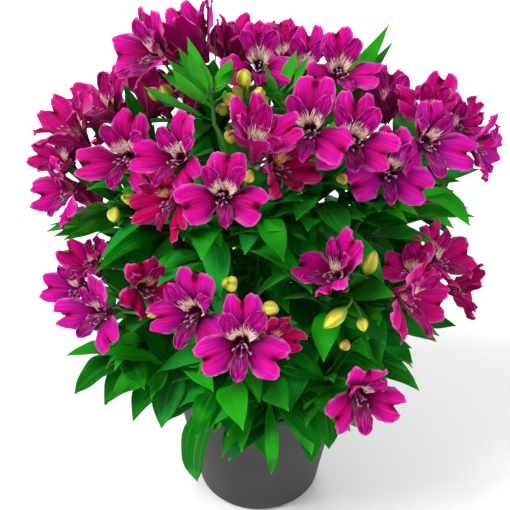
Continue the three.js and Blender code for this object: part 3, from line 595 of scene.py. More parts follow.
# Soft patches of light and dark over any surface, from object coordinates
def mottleGroup():
    group, wires, final = newGroup("mottle", ["Scale", "Detail"], ["Value", "Fine"])
    place = group.nodes.new("ShaderNodeTexCoord").outputs["Object"]
    broad = addNode(group, "ShaderNodeTexNoise", {
        "Vector": place, "Scale": wires["Scale"], "Detail": wires["Detail"]})
    fine = addNode(group, "ShaderNodeTexNoise", {
        "Vector": place, "Scale": wires["Scale"] * 9, "Detail": 3})
    plug(group, broad.outputs[0], final.inputs["Value"])
    plug(group, fine.outputs[0], final.inputs["Fine"])
    return group


# Fine lines that run along a blade, from its own across and along values
def grainGroup():
    group, wires, final = newGroup("grain", ["Across", "Along", "Chance", "Lines", "Runs"], ["Value"])
    place = addNode(group, "ShaderNodeCombineXYZ", {
        0: wires["Across"] * wires["Lines"], 1: wires["Along"] * wires["Runs"],
        2: wires["Chance"] * 37})
    noise = addNode(group, "ShaderNodeTexNoise", {
        "Vector": place.outputs[0], "Scale": 1, "Detail": 2, "Roughness": 0.5})
    plug(group, noise.outputs[0], final.inputs["Value"])
    return group


# Short dark dashes in rows along a blade, thinned by chance
def dashGroup():
    group, wires, final = newGroup("dashes", [
        "Across", "Along", "Chance", "Rows", "Runs", "Width", "Length", "Left Out"], ["Value"])
    bent = addNode(group, "ShaderNodeTexNoise", {
        "Vector": addNode(group, "ShaderNodeCombineXYZ", {
            0: wires["Across"] * 2, 1: wires["Along"] * 3, 2: wires["Chance"] * 11}).outputs[0],
        "Scale": 1.6, "Detail": 1})
    rows = (wires["Across"] + (Wire(group, bent.outputs[0]) - 0.5) * 0.12) * wires["Rows"]
    row = rows.math("FLOOR")
    seed = addNode(group, "ShaderNodeTexWhiteNoise", {"Vector": addNode(
        group, "ShaderNodeCombineXYZ", {0: row, 1: wires["Chance"] * 91}).outputs[0]},
        noise_dimensions="2D")
    runs = wires["Along"] * wires["Runs"] + Wire(group, seed.outputs["Value"]) * 5
    run = runs.math("FLOOR")
    keep = addNode(group, "ShaderNodeTexWhiteNoise", {"Vector": addNode(
        group, "ShaderNodeCombineXYZ", {0: row, 1: run, 2: wires["Chance"] * 53}).outputs[0]})
    sideways = (rows - row - 0.5) / wires["Width"]
    lengthways = (runs - run - 0.5) / wires["Length"]
    inside = sideways * sideways + lengthways * lengthways
    kept = Wire(group, keep.outputs["Value"]).math("GREATER_THAN", wires["Left Out"])
    plug(group, inside.step(1.0, 0.55) * kept, final.inputs["Value"])
    return group


mottle = mottleGroup()
grain = grainGroup()
dashes = dashGroup()


def useGroup(tree, group, **values):
    made = tree.nodes.new("ShaderNodeGroup")
    made.node_tree = group
    for title, value in values.items():
        plug(tree, value, made.inputs[title.replace("_", " ")])
    return [Wire(tree, each) for each in made.outputs]


# Tepals: bright magenta lobes; a darker heart and throat, partly their own colour and partly painted
# shade in the bloom's hollow; a mauve rim, partly painted highlight; painted shade in the fold at the
# notch; and on the inner pair a cream patch and dark streaks beyond it. Old blooms turn crimson.
petalChoices = {
    "lobe": (204, 14, 148),
    "shadedHeart": (116, 0, 56),
    "violet": (182, 20, 162),
    "crimson": (186, 0, 104),
    "rose": (186, 8, 110),
    "old": (176, 0, 78),
    "rim": (228, 120, 194),
    "foldShade": (84, 0, 32),
    "notchShadeHalo": (186, 0, 78),
    "shadedThroat": (54, 0, 34),
    "cream": (255, 240, 196),
    "creamRim": (255, 206, 220),
    "gold": (232, 156, 66),
    "dash": (104, 26, 34),
    "streak": (84, 0, 62),
    "outside": (178, 10, 108),
    "keel": (150, 112, 52),
}


def petalMaterial():
    colours = {name: paint(*value) for name, value in petalChoices.items()}
    material, tree, shader = newMaterial("petal", 0.5, **{"Specular IOR Level": 0.03})
    across, along, side = readAttribute(tree, "blade")
    chance, age, kind = readAttribute(tree, "mood")
    width = abs(across)
    inner = kind.math("GREATER_THAN", 0.5)
    lower = kind.math("GREATER_THAN", 1.5)
    upper = inner - lower
    outer = 1 - inner
    fine, = useGroup(tree, grain, Across=across, Along=along, Chance=chance, Lines=15, Runs=1.6)
    broad, = useGroup(tree, grain, Across=across, Along=along, Chance=chance + 3, Lines=1.5, Runs=1.5)
    spikes, = useGroup(tree, grain, Across=across, Along=along, Chance=chance + 7, Lines=8, Runs=0.6)
    longDash, = useGroup(tree, dashes, Across=across, Along=along, Chance=chance, Rows=5.5, Runs=3.6,
                         Width=0.36, Length=0.5, Left_Out=0.12)
    shortDash, = useGroup(tree, dashes, Across=across, Along=along, Chance=chance + 5, Rows=6.5, Runs=9,
                          Width=0.22, Length=0.4, Left_Out=0.35)
    stripe, = useGroup(tree, dashes, Across=across, Along=along, Chance=chance + 9, Rows=6, Runs=2.1,
                       Width=0.3, Length=0.52, Left_Out=0.12)
    # The heart darkens towards the hub: the tepal's own darker base, with painted shade over it
    reach = (along + (broad - 0.5) * 0.5 - width * 0.1).step(0.28, 0.84)
    colour = blend(tree, reach, colours["shadedHeart"], colours["lobe"])
    tone = age + (broad - 0.5) * 0.3
    colour = blend(tree, tone.step(-0.02, -0.2) * 0.6, colour, colours["violet"])
    colour = blend(tree, tone.step(0.0, 0.2) * 0.6, colour, colours["crimson"])
    colour = blend(tree, age.step(0.12, 0.4), colour, colours["rose"])
    colour = blend(tree, age.step(0.5, 0.95), colour, colours["old"])
    # The mauve rim is the tepal's paler margin plus painted highlight standing in for the sheen on the
    # lobes' edges; the fine veins are paler too
    edge = width.math("MAXIMUM", along.over(0.62) * 2.6).step(0.82, 1.05)
    paleRimVeinsAndSheen = (edge * 0.7).math("MAXIMUM", fine.step(0.56, 0.7) * along * 0.14)
    colour = blend(tree, paleRimVeinsAndSheen, colour, colours["rim"])
    # Painted shade in the fold: a dark spot behind an outer tepal's notch with a crimson halo round it,
    # and the darker furrow down to the throat
    notchShadeHalo = (1 - width.step(0.08, 0.62)) * along.step(0.46, 0.88)
    colour = blend(tree, notchShadeHalo * outer * 0.5, colour, colours["notchShadeHalo"])
    furrow = (1 - width.step(0.0, 0.14)) * along.step(0.3, 0.9) * 0.5
    spot = (1 - (width + (spikes - 0.5) * 0.3).step(0.02, 0.22)) * along.step(0.78, 0.92)
    colour = blend(tree, furrow.math("MAXIMUM", spot) * outer, colour, colours["foldShade"])
    # Painted shade in the bloom's hollow: the throat goes near-black towards the hub
    base = 1 - along.step(0.12, 0.46)
    colour = blend(tree, base * 0.92, colour, colours["shadedThroat"])
    # The inner pair's patch is a fan of cream streaks with ragged ends
    ragged = (spikes - 0.5) * 0.6
    patch = (along - ragged * 0.5).step(0.29, 0.33) * (1 - (along + ragged).step(0.54, 0.6))
    patch = patch * (spikes + (0.5 - abs(along - 0.42)) * 0.3).step(0.45, 0.53)
    tint = blend(tree, width.step(0.3, 0.9).math("MAXIMUM", along.step(0.4, 0.54)),
                 colours["cream"], colours["creamRim"])
    golden = (fine.step(0.5, 0.62) * 0.3).math("MAXIMUM", age.step(0.2, 0.9) * 0.7)
    tint = blend(tree, golden, tint, colours["gold"])
    colour = blend(tree, patch * upper, colour, tint)
    pale = stripe * along.step(0.3, 0.5) * (1 - along.step(0.7, 0.9)) * lower
    colour = blend(tree, pale * 0.35, colour, colours["creamRim"])
    colour = blend(tree, shortDash * patch * upper, colour, colours["dash"])
    beyond = longDash * along.step(0.44, 0.54) * (1 - along.step(0.86, 0.97)) * inner
    colour = blend(tree, beyond * 0.9, colour, colours["streak"])
    streaks = longDash.math("MAXIMUM", stripe) * along.step(0.15, 0.25) * (1 - along.step(0.88, 0.98))
    colour = blend(tree, streaks * lower * 0.75, colour, colours["streak"])
    # Fine veins, and a paler outside
    veins = fine.step(0.58, 0.4) * (0.36 - along * 0.18) * (1 - patch * upper)
    colour = blend(tree, veins, colour, colours["shadedThroat"])
    behind = side.math("LESS_THAN", 0)
    colour = blend(tree, behind * 0.6, colour, colours["outside"])
    keel = (1 - width.step(0.03, 0.16)) * (1 - along.step(0.45, 0.8)) * (fine + 0.4)
    colour = blend(tree, keel * behind * 0.5, colour, colours["keel"])
    plug(tree, colour, shader.inputs["Base Color"])
    plug(tree, 0.44 + fine * 0.2, shader.inputs["Roughness"])
    bumped(tree, shader, fine, 0.16, 0.0005)
    return material


leafChoices = {
    "deep": (0, 98, 6),
    "bright": (30, 158, 18),
    "young": (62, 170, 36),
    "rib": (70, 166, 56),
    "tip": (150, 176, 50),
    "under": (16, 122, 62),
}


def leafMaterial():
    colours = {name: paint(*value) for name, value in leafChoices.items()}
    material, tree, shader = newMaterial("leaf", 0.5, **{"Specular IOR Level": 0.05})
    across, along, side = readAttribute(tree, "blade")
    chance, young = readAttribute(tree, "mood")[:2]
    width = abs(across)
    veins, = useGroup(tree, grain, Across=across, Along=along, Chance=chance, Lines=18, Runs=0.7)
    patches, fine = useGroup(tree, mottle, Scale=38, Detail=2)
    # Painted light and shade: sunny patches of brighter green over the deep green
    sunny = (patches + chance * 0.6 - 0.3).step(0.3, 0.7)
    colour = blend(tree, sunny, colours["deep"], colours["bright"])
    under = side.math("LESS_THAN", 0)
    cool = (chance * 5.3).math("FRACT").step(0.62, 0.85) * 0.6
    colour = blend(tree, under.math("MAXIMUM", cool) * 0.65, colour, colours["under"])
    colour = blend(tree, young * patches.step(0.2, 0.75), colour, colours["young"])
    rib = (1 - width.step(0.0, 0.07)) * (1 - along.step(0.6, 1.0))
    colour = blend(tree, rib * 0.45, colour, colours["rib"])
    colour = blend(tree, along.step(0.96, 1.0) * 0.5, colour, colours["tip"])
    colour = blend(tree, veins.step(0.5, 0.62) * 0.2, colour, colours["rib"])
    plug(tree, colour, shader.inputs["Base Color"])
    plug(tree, 0.4 + fine * 0.16 + under * 0.15, shader.inputs["Roughness"])
    bumped(tree, shader, veins + rib * 0.5, 0.3, 0.0006)
    return material


stemChoices = {
    "low": (28, 96, 26),
    "high": (70, 130, 44),
    "blush": (104, 60, 48),
    "shadedThroat": (60, 6, 40),
}


def stemMaterial():
    colours = {name: paint(*value) for name, value in stemChoices.items()}
    material, tree, shader = newMaterial("stem", 0.45)
    along = readAttribute(tree, "blade")[1]
    ovary = readAttribute(tree, "mood")[1]
    patches, fine = useGroup(tree, mottle, Scale=60, Detail=3)
    colour = blend(tree, (along + patches - 0.5).step(0.2, 1.0), colours["low"], colours["high"])
    colour = blend(tree, patches.step(0.55, 0.8) * 0.5, colour, colours["blush"])
    # An ovary's top, which shows in the open bloom's throat, is painted dark plum, the throat's painted
    # shade
    colour = blend(tree, ovary * along.step(0.78, 0.94), colour, colours["shadedThroat"])
    plug(tree, colour, shader.inputs["Base Color"])
    plug(tree, 0.38 + fine * 0.2, shader.inputs["Roughness"])
    bumped(tree, shader, fine, 0.3, 0.0004)
    return material


budChoices = {
    "foot": (120, 160, 30),
    "body": (224, 222, 60),
    "blush": (186, 70, 60),
    "tip": (84, 124, 30),
}
budFurrows = 3
ovaryRibs = 6


def budMaterial():
    colours = {name: paint(*value) for name, value in budChoices.items()}
    material, tree, shader = newMaterial("bud", 0.4)
    turn, along = readAttribute(tree, "blade")[:2]
    chance = readAttribute(tree, "mood")[0]
    patches, fine = useGroup(tree, mottle, Scale=90, Detail=3)
    colour = blend(tree, along.step(0.1, 0.45), colours["foot"], colours["body"])
    blush = (patches + chance * 0.6).step(0.75, 1.1) * along.step(0.45, 0.85)
    colour = blend(tree, blush * 0.7, colour, colours["blush"])
    colour = blend(tree, along.step(0.86, 1.0), colour, colours["tip"])
    furrow = (turn * (2 * math.pi * budFurrows)).math("COSINE").step(0.2, -0.9)
    colour = blend(tree, furrow * 0.6, colour, colours["foot"])
    lines, = useGroup(tree, grain, Across=turn, Along=along, Chance=chance, Lines=26, Runs=1.2)
    streaks = lines.step(0.52, 0.62) * along.step(0.1, 0.4)
    colour = blend(tree, streaks * 0.55, colour, colours["blush"])
    plug(tree, colour, shader.inputs["Base Color"])
    plug(tree, 0.34 + fine * 0.16, shader.inputs["Roughness"])
    bumped(tree, shader, fine, 0.25, 0.0004)
    return material


stamenChoices = {
    "foot": (110, 20, 90),
    "head": (206, 90, 160),
    "anther": (112, 98, 122),
    "antherEdge": (186, 178, 172),
}


def filamentMaterial():
    material, tree, shader = newMaterial("filament", 0.45)
    along = readAttribute(tree, "blade")[1]
    fine = useGroup(tree, mottle, Scale=300, Detail=2)[1]
    colour = blend(tree, (along + fine * 0.3 - 0.15).step(0.2, 0.9),
                   paint(*stamenChoices["foot"]), paint(*stamenChoices["head"]))
    plug(tree, colour, shader.inputs["Base Color"])
    plug(tree, 0.4 + fine * 0.2, shader.inputs["Roughness"])
    return material


def antherMaterial():
    material, tree, shader = newMaterial("anther", 0.8)
    patches, fine = useGroup(tree, mottle, Scale=700, Detail=3)
    colour = blend(tree, fine.step(0.4, 0.6), paint(*stamenChoices["anther"]),
                   paint(*stamenChoices["antherEdge"]))
    plug(tree, colour, shader.inputs["Base Color"])
    plug(tree, 0.6 + patches * 0.3, shader.inputs["Roughness"])
    bumped(tree, shader, fine, 0.6, 0.0003)
    return material


petal = petalMaterial()
leafGreen = leafMaterial()
stemGreen = stemMaterial()
budSkin = budMaterial()
filamentPink = filamentMaterial()
antherGrey = antherMaterial()
print("plant materials made")

# Blooms. The part number of a line says what the node tree grows on it: an outer tepal, an upper
# or a lower inner one, a filament or the style
bloomParts = {"outer": 0, "upper": 1, "lower": 2, "filament": 3, "style": 4}
hubRadius = 3.2
hubDepth = 3
tepalShapes = {    # mm, and degrees from the bloom's axis at the hub and at the tip
    "outer": {"length": 48, "start": 16, "closed": 30, "open": 90, "half": 16},
    "upper": {"length": 43, "start": 8, "closed": 22, "open": 72, "half": 7.6},
    "lower": {"length": 43, "start": 8, "closed": 22, "open": 78, "half": 6.9},
}
# In the order of the solids' draws, with the turn that each tepal leans to
tepalOrder = [
    ("outer", 90), ("upper", 128), ("outer", 205), ("lower", 270), ("outer", 335), ("upper", 52),
]
# How wide an outer and an inner tepal are along their length, as shares of their half width
broadOutline = [(0, 0.1), (0.15, 0.16), (0.32, 0.37), (0.5, 0.69), (0.68, 0.92), (0.84, 1), (1, 0.96)]
slimOutline = [(0, 0.18), (0.2, 0.34), (0.42, 0.74), (0.64, 1), (0.82, 0.92), (0.94, 0.6), (1, 0.12)]
# What chance changes in a bloom: degrees, mm and shares
bloomDraws = {
    "roll": 7, "lift": 6, "turn": 4, "twist": 22, "bow": 3, "fade": 0.15,
    "spread": (0.88, 1.08), "reach": (0.92, 1.05),
}
stamenSizes = {    # mm, and the first one's turn and what chance adds to it in degrees
    "count": 6, "firstTurn": 20, "turn": 12, "ring": 1.3, "reach": (19, 25), "spread": (3, 7.5),
    "depth": 3.5, "sag": (3, 6), "half": 0.42, "steps": 9, "pulls": (0.6, 0.2),
}
styleSizes = {"reach": 21, "sag": 3, "half": 0.5, "knob": 0.9, "steps": 7, "pulls": (12, 4)}    # mm
bloomChoices = {
    "Cells Across": 21, "Cells Along": 19, "Thickness": 0.38 * mm, "Lobe Rise": 1.7 * mm,
    "Crease": 1.8 * mm, "Edge Curl": 2.4 * mm, "Ruffle": 1.5 * mm, "Notch": 0.17, "Shoulder": 0.2,
    "Anther Length": 1.7 * mm, "Anther Width": 0.7 * mm,
}
threadSides = 6


def bloomTree():
    tree, wires = newTree("blooms", bloomChoices, ["Petal", "Filament", "Anther"])
    lines = wires["Geometry"].socket

    def shape(across, along):
        width = abs(across)
        chance = Wire(tree, addNode(tree, "ShaderNodeSeparateXYZ", {
            0: named(tree, "mood", "FLOAT_VECTOR")}).outputs[0])
        kind = Wire(tree, named(tree, "part", "INT"))
        inner = kind.math("GREATER_THAN", 0.5)
        outer = 1 - inner
        luck = (chance * 7.3).math("FRACT")
        # Where the tepal ends: round shoulders, the notch between the two lobes with its small
        # point, and a ragged edge
        wobble = (across * 7 + chance * 40).wave() * 0.016 + (across * 21 + chance * 90).wave() * 0.012
        end = 1 - ((width.over(0.5) / 0.5) ** 3.2) * wires["Shoulder"]
        end = end - ((1 - width / 0.42).math("MAXIMUM", 0) ** 1.4) * wires["Notch"] * (luck * 0.8 + 0.6)
        end = end + (across * across * -400).math("EXPONENT") * 0.025 + across * (chance - 0.5) * 0.11
        share = along * ((end * outer + inner) + wobble)
        broad = curveOver(tree, along, broadOutline)
        slim = curveOver(tree, along, slimOutline)
        size = Wire(tree, named(tree, "half", "FLOAT"))
        frill = (along * 17 + chance * 70 + across).wave() * 0.035
        frill = frill + (along * 37 + luck * 50).wave() * 0.02
        half = size * (broad * outer + slim * inner) * (1 + frill * along)
        # How far it rises from its line: two lobes beside a crease, curled edges and tip, ruffles
        lobes = (width * math.pi).wave() * wires["Lobe Rise"] * along
        crease = (across * across * -30).math("EXPONENT") * wires["Crease"] * along
        curl = (width.over(0.5) / 0.5) ** 2 * wires["Edge Curl"] * along * along * (chance * 1.8 - 0.3)
        tipCurl = (along.over(0.78) / 0.22) ** 2 * wires["Edge Curl"] * (1.3 - luck * 1.9)
        rim = width.math("MAXIMUM", along) ** 4
        ruffle = (across * 8 + chance * 60).wave() * along * along * rim * wires["Ruffle"]
        ruffle = ruffle + (along * 15 + chance * 90).wave() * across * rim * wires["Ruffle"]
        ruffle = ruffle + (along * 31 + across * 17 + luck * 30).wave() * rim * wires["Ruffle"] * 0.45
        channel = across * across * (1 - along.step(0.1, 0.6)) * 1.3 * mm
        rise = (lobes - crease - curl) * outer + channel + ruffle - tipCurl
        rise = rise + (across * across * 1.2 * mm - crease * 0.5) * inner
        return share, half, rise

    tepalLines = onlyPart(tree, lines, bloomParts["outer"], bloomParts["lower"])
    tepals = addSheets(tree, tepalLines, (wires["Cells Across"], wires["Cells Along"]),
                       wires["Thickness"], shape)
    mood = addNode(tree, "ShaderNodeSeparateXYZ", {0: named(tree, "mood", "FLOAT_VECTOR")})
    marked = addNode(tree, "ShaderNodeCombineXYZ", {
        0: mood.outputs[0], 1: mood.outputs[1], 2: named(tree, "part", "INT")}).outputs[0]
    tepals = store(tree, tepals, "mood", marked)
    threads = onlyPart(tree, lines, bloomParts["filament"], bloomParts["filament"])
    filaments = addTubes(tree, threads, threadSides)
    styleLines = onlyPart(tree, lines, bloomParts["style"], bloomParts["style"])
    styles = addTubes(tree, styleLines, threadSides)
    curves = addNode(tree, "GeometryNodeMeshToCurve", {"Mesh": threads}).outputs[0]
    ends = addNode(tree, "GeometryNodeCurveEndpointSelection", {"Start Size": 0, "End Size": 1})
    bead = addNode(tree, "GeometryNodeMeshUVSphere", {"Segments": 8, "Rings": 6, "Radius": 1.0})
    size = addNode(tree, "ShaderNodeCombineXYZ", {
        0: wires["Anther Width"], 1: wires["Anther Width"], 2: wires["Anther Length"]}).outputs[0]
    facing = addNode(tree, "FunctionNodeAlignRotationToVector", {
        "Vector": named(tree, "up", "FLOAT_VECTOR")}, axis="Z").outputs[0]
    anthers = addNode(tree, "GeometryNodeInstanceOnPoints", {
        "Points": curves, "Selection": ends.outputs[0], "Instance": bead.outputs[0],
        "Rotation": facing, "Scale": size}).outputs[0]
    endTree(tree, [painted(tree, tepals, wires["Petal"]), painted(tree, filaments, wires["Filament"]),
                   painted(tree, styles, wires["Filament"]), painted(tree, anthers, wires["Anther"])])
    return tree


def tepalLine(shape, size, openness, lift):
    endAngle = mix(shape["closed"], shape["open"], openness) + lift
    step = shape["length"] * size / curveSteps
    out = hubRadius * size
    ahead = 0
    line = [(out, ahead, shape["start"])]
    for i in range(curveSteps):
        lean = mix(shape["start"], endAngle, ((i + 0.5) / curveSteps) ** bendPower)
        out += step * math.sin(math.radians(lean))
        ahead += step * math.cos(math.radians(lean))
        line.append((out, ahead, lean))
    return line


# Blooms that face, open or measure differently in the photograph than in the solids, by their row
# in the table: azimuth, elevation, size, how far open
turnedBlooms = {
    0: (-58, 26, 1.05, 0.75),
    1: (250, 62, 0.95, 0.55),
    2: (-90, 71, 1.1, 0),
    3: (-80, 52, 0.95, 0.4),
    4: (90, 71, 0.95, 0.2),
    11: (40, 70, 1.0, 0.42),
    12: (50, 26, 0.9, 0.7),
    13: (3, 38, 0.89, 0.95),
    14: (-32, 34, 0.93, 0.85),
    15: (-38, 4, 0.92, 0.7),
    16: (-22, 34, 1.06, 0.95),
    18: (150, 64, 1.2, 0.5),
    19: (-64, 52, 1.12, 0.75),
    20: (-50, 10, 0.94, 0.75),
    21: (-50, 48, 0.85, 0.75),
    22: (-88, 56, 1.12, 0.65),
    24: (30, 80, 1.05, 0.4),
    26: (-30, 70, 0.95, 0.35),
    30: (-36, 26, 0.9, 0.95),
    31: (-44, 22, 0.9, 0.85),
    32: (-60, 60, 0.82, 0.5),
    33: (38, 22, 0.85, 0.7),
    37: (-60, 56, 0.92, 0.6),
    38: (-34, 62, 0.8, 0.4),
    39: (66, 44, 1.04, 0.7),
    40: (46, 8, 1.08, 0.9),
    41: (82, 0, 0.85, 0.5),
    42: (18, 10, 0.95, 0.85),
}
# What each stem adds to the age of its blooms: more violet below nothing, more crimson above
stemTones = {
    "top_left": -0.06, "top_right": -0.06, "centre": 0.08, "centre_left": 0.02, "left": 0.08,
    "right": -0.18, "far_right": -0.26, "upper_right": -0.06, "low_left": -0.16,
    "low_front": -0.12, "foot_right": 0.02, "low_right": -0.1,
}


def addTepal(lines, kind, hub, axis, out, size, openness, lift, fade, extra):
    shape = tepalShapes[kind]
    sideways = axis.cross(out)
    twist = swing(bloomDraws["twist"], next(extra))
    bow = swing(bloomDraws["bow"], next(extra)) * size
    spread = size * mix(*bloomDraws["spread"], next(extra))
    reach = size * mix(*bloomDraws["reach"], next(extra))
    points = []
    ups = []
    for i, (far, ahead, lean) in enumerate(tepalLine(shape, reach, openness, lift)):
        share = i / curveSteps
        front = axis * math.sin(math.radians(lean)) - out * math.cos(math.radians(lean))
        along = axis * math.cos(math.radians(lean)) + out * math.sin(math.radians(lean))
        points.append(hub + out * far + axis * ahead + sideways * (bow * share * share))
        ups.append(Quaternion(along, math.radians(twist * share)) @ front)
    halves = [shape["half"] * spread] * len(points)
    lines.add(bloomParts[kind], points, halves, ups, (next(extra), fade))


def addStamen(lines, number, hub, axis, right, upper, size, fade, extra):
    sizes = stamenSizes
    steps = sizes["steps"]
    turn = 360 / sizes["count"] * number + sizes["firstTurn"]
    angle = math.radians(turn + swing(sizes["turn"], next(extra)))
    start = hub + (right * math.cos(angle) + upper * math.sin(angle)) * sizes["ring"] * size
    reach = mix(*sizes["reach"], next(extra)) * size
    sideways = math.cos(angle) * mix(*sizes["spread"], next(extra)) * size
    upwards = (math.sin(angle) * sizes["depth"] - mix(*sizes["sag"], next(extra))) * size
    end = hub + axis * reach + right * sideways + upper * upwards
    firstPull, lastPull = sizes["pulls"]
    pullStart = start + axis * (reach * firstPull)
    pullEnd = end - axis * (reach * lastPull) - upper * 2
    points = [bezier(start, pullStart, pullEnd, end, i / steps) for i in range(steps + 1)]
    # Each anther hangs from its filament's end at a slant of its own
    hang = axis * 0.5 - upper * mix(-0.2, 1, next(extra)) + right * swing(0.8, next(extra))
    lines.add(bloomParts["filament"], points, [sizes["half"] * size] * len(points),
              [hang.normalized()] * len(points), (next(extra), fade))


def addStyle(lines, hub, axis, upper, size, fade, extra):    # it ends in a small knob
    steps = styleSizes["steps"]
    firstPull, lastPull = styleSizes["pulls"]
    end = hub + axis * (styleSizes["reach"] * size) - upper * (styleSizes["sag"] * size)
    pullStart = hub + axis * (firstPull * size)
    pullEnd = end - axis * (lastPull * size)
    points = [bezier(hub, pullStart, pullEnd, end, i / steps) for i in range(steps + 1)]
    halves = [styleSizes["half"] * size] * steps + [styleSizes["knob"] * size]
    lines.add(bloomParts["style"], points, halves, [axis] * len(points), (next(extra), fade))


def addBloom(lines, index):
    owner, base, azimuth, elevation, size, openness, age = bloomTable[index]
    azimuth, elevation, size, openness = turnedBlooms.get(index, (azimuth, elevation, size, openness))
    axis = heading(azimuth, elevation)
    upright = Vector((0, 1, 0)) if abs(axis.z) > 0.97 else Vector((0, 0, 1))
    upper = (upright - axis * upright.dot(axis)).normalized()
    right = upper.cross(axis)
    draws = numberStream(seeds["blooms"] + index)
    extra = numberStream(seeds["bloomDetail"] + index)
    roll = swing(bloomDraws["roll"], next(draws))
    hub = Vector(base) + axis * (hubDepth * size)
    fade = age + swing(bloomDraws["fade"], next(extra)) + stemTones.get(owner, 0)
    for kind, turn in tepalOrder:
        lift = swing(bloomDraws["lift"], next(draws))
        angle = math.radians(turn + roll + swing(bloomDraws["turn"], next(extra)))
        out = right * math.cos(angle) + upper * math.sin(angle)
        addTepal(lines, kind, hub, axis, out, size, openness, lift, fade, extra)
    for number in range(stamenSizes["count"]):
        addStamen(lines, number, hub, axis, right, upper, size, fade, extra)
    addStyle(lines, hub, axis, upper, size, fade, extra)


def nearestNode(point):
    return min(bloomNodes, key=lambda name: bloomCorners[name].find(point)[2])


def buildBlooms():
    tree = bloomTree()
    rows = {}
    for index, row in enumerate(bloomTable):
        rows.setdefault(nearestNode(Vector(row[1])), []).append(index)
    for node, members in rows.items():
        lines = Lines()
        for index in members:
            addBloom(lines, index)
        piece = grown("fine_" + node, lines.mesh(node), tree, bloomChoices, {
            "Petal": petal, "Filament": filamentPink, "Anther": antherGrey})
        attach(piece, "root")
        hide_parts(node)
    print("blooms made:", len(rows), "pieces from", len(bloomTable), "blooms;",
          "nodes left:", sorted(set(bloomNodes) - set(rows)))


buildBlooms()

# Green pieces, with part numbers of their own
greenParts = {"stem": 0, "stalk": 1, "ovary": 2, "bud": 3, "leaf": 4, "small": 5}
# Radii and heights in mm. A stem widens at its neck into a knob where its flower stalks fan out;
# each of the knob's rows is how far past the head, and a radius
stemSizes = {
    "foot": 2.6, "head": 1.9, "straightTop": 129, "rootDepth": 92.3, "steps": 16,
    "neck": (2.4, 3.3), "knob": [(2, 3.1), (3.6, 0.8)],
}
shootSizes = {"root": 2.4, "tip": 1.9, "taper": 0.7, "height": 133, "steps": 12, "whorlSteps": 4}
stalkSizes = {"radius": 1.15, "ovary": 2.9, "ovaryLength": 7, "gap": 0.3, "steps": 12}
# How thick a bud and an ovary are along their length, and how wide a leaf is, as shares
budOutline = [
    (0, 0.34), (0.06, 0.5), (0.18, 0.8), (0.32, 0.97), (0.45, 1), (0.6, 0.93), (0.74, 0.72),
    (0.86, 0.42), (0.95, 0.18), (1, 0.06),
]
ovaryOutline = [(-1.25, 0.4), (-1, 0.62), (-0.7, 0.9), (-0.4, 1), (-0.15, 0.95), (0, 0.78)]
leafOutline = [
    (0, 0.1), (0.08, 0.2), (0.2, 0.55), (0.36, 0.9), (0.5, 1), (0.66, 0.88), (0.82, 0.55),
    (0.94, 0.17), (1, 0.01),
]
greenChoices = {
    "Stem Sides": 12, "Stalk Sides": 8, "Bud Sides": 18, "Ovary Ribs": 0.1, "Bud Ribs": 0.09,
    "Cells Across": 9, "Cells Along": 17, "Small Across": 3, "Small Along": 10,
    "Leaf Thickness": 0.42 * mm, "Fold": 0.22, "Waves": 0.09,
}


def greenTree():
    tree, wires = newTree("greens", greenChoices, ["Stem", "Bud", "Leaf"])
    lines = wires["Geometry"].socket

    def shape(across, along):
        width = abs(across)
        chance = Wire(tree, addNode(tree, "ShaderNodeSeparateXYZ", {
            0: named(tree, "mood", "FLOAT_VECTOR")}).outputs[0])
        half = Wire(tree, named(tree, "half", "FLOAT")) * curveOver(tree, along, leafOutline)
        fold = (width ** 1.4) * half * wires["Fold"]
        waves = (along * 15 + chance * 50 + across * 0.8).wave() * width * half * wires["Waves"]
        waves = waves + (along * 8 + chance * 80).wave() * across * half * wires["Waves"]
        return along, half, fold + waves

    def only(part):
        return onlyPart(tree, lines, greenParts[part], greenParts[part])
    stems = addTubes(tree, only("stem"), wires["Stem Sides"])
    stalks = addTubes(tree, only("stalk"), wires["Stalk Sides"])
    ovaries = addTubes(tree, only("ovary"), wires["Bud Sides"], ovaryRibs, wires["Ovary Ribs"])
    buds = addTubes(tree, only("bud"), wires["Bud Sides"], budFurrows, wires["Bud Ribs"])
    leaves = addSheets(tree, only("leaf"), (wires["Cells Across"], wires["Cells Along"]),
                       wires["Leaf Thickness"], shape)
    small = addSheets(tree, only("small"), (wires["Small Across"], wires["Small Along"]),
                      wires["Leaf Thickness"], shape)
    endTree(tree, [painted(tree, stems, wires["Stem"]), painted(tree, stalks, wires["Stem"]),
                   painted(tree, ovaries, wires["Stem"]), painted(tree, buds, wires["Bud"]),
                   painted(tree, leaves, wires["Leaf"]), painted(tree, small, wires["Leaf"])])
    return tree


def stemPoint(name, share):
    foot, head = stemTable[name][:2]
    head = Vector(head)
    rise = head.z - stemSizes["straightTop"]
    start = Vector((*foot, stemSizes["straightTop"]))
    pullStart = start + Vector((0, 0, 0.4 * rise))
    pullEnd = Vector((mix(foot[0], head.x, 0.6), mix(foot[1], head.y, 0.6), head.z - 0.3 * rise))
    return bezier(start, pullStart, pullEnd, head, share)


def shootPoint(row, share):
    foot = stemTable[row[0]][0]
    start = Vector((*foot, shootSizes["height"]))
    tip = Vector(row[1])
    rise = tip.z - start.z
    pullStart = Vector((mix(start.x, tip.x, 0.2), mix(start.y, tip.y, 0.2), start.z + 0.6 * rise))
    pullEnd = Vector((mix(start.x, tip.x, 0.7), mix(start.y, tip.y, 0.7), tip.z - 0.06 * rise))
    return bezier(start, pullStart, pullEnd, tip, share)


zUp = Vector((0, 0, 1))
sways = [0, 8, -8, 16, -16, 26, -26, 36, -36]    # mm that a flower stalk may bow to one side


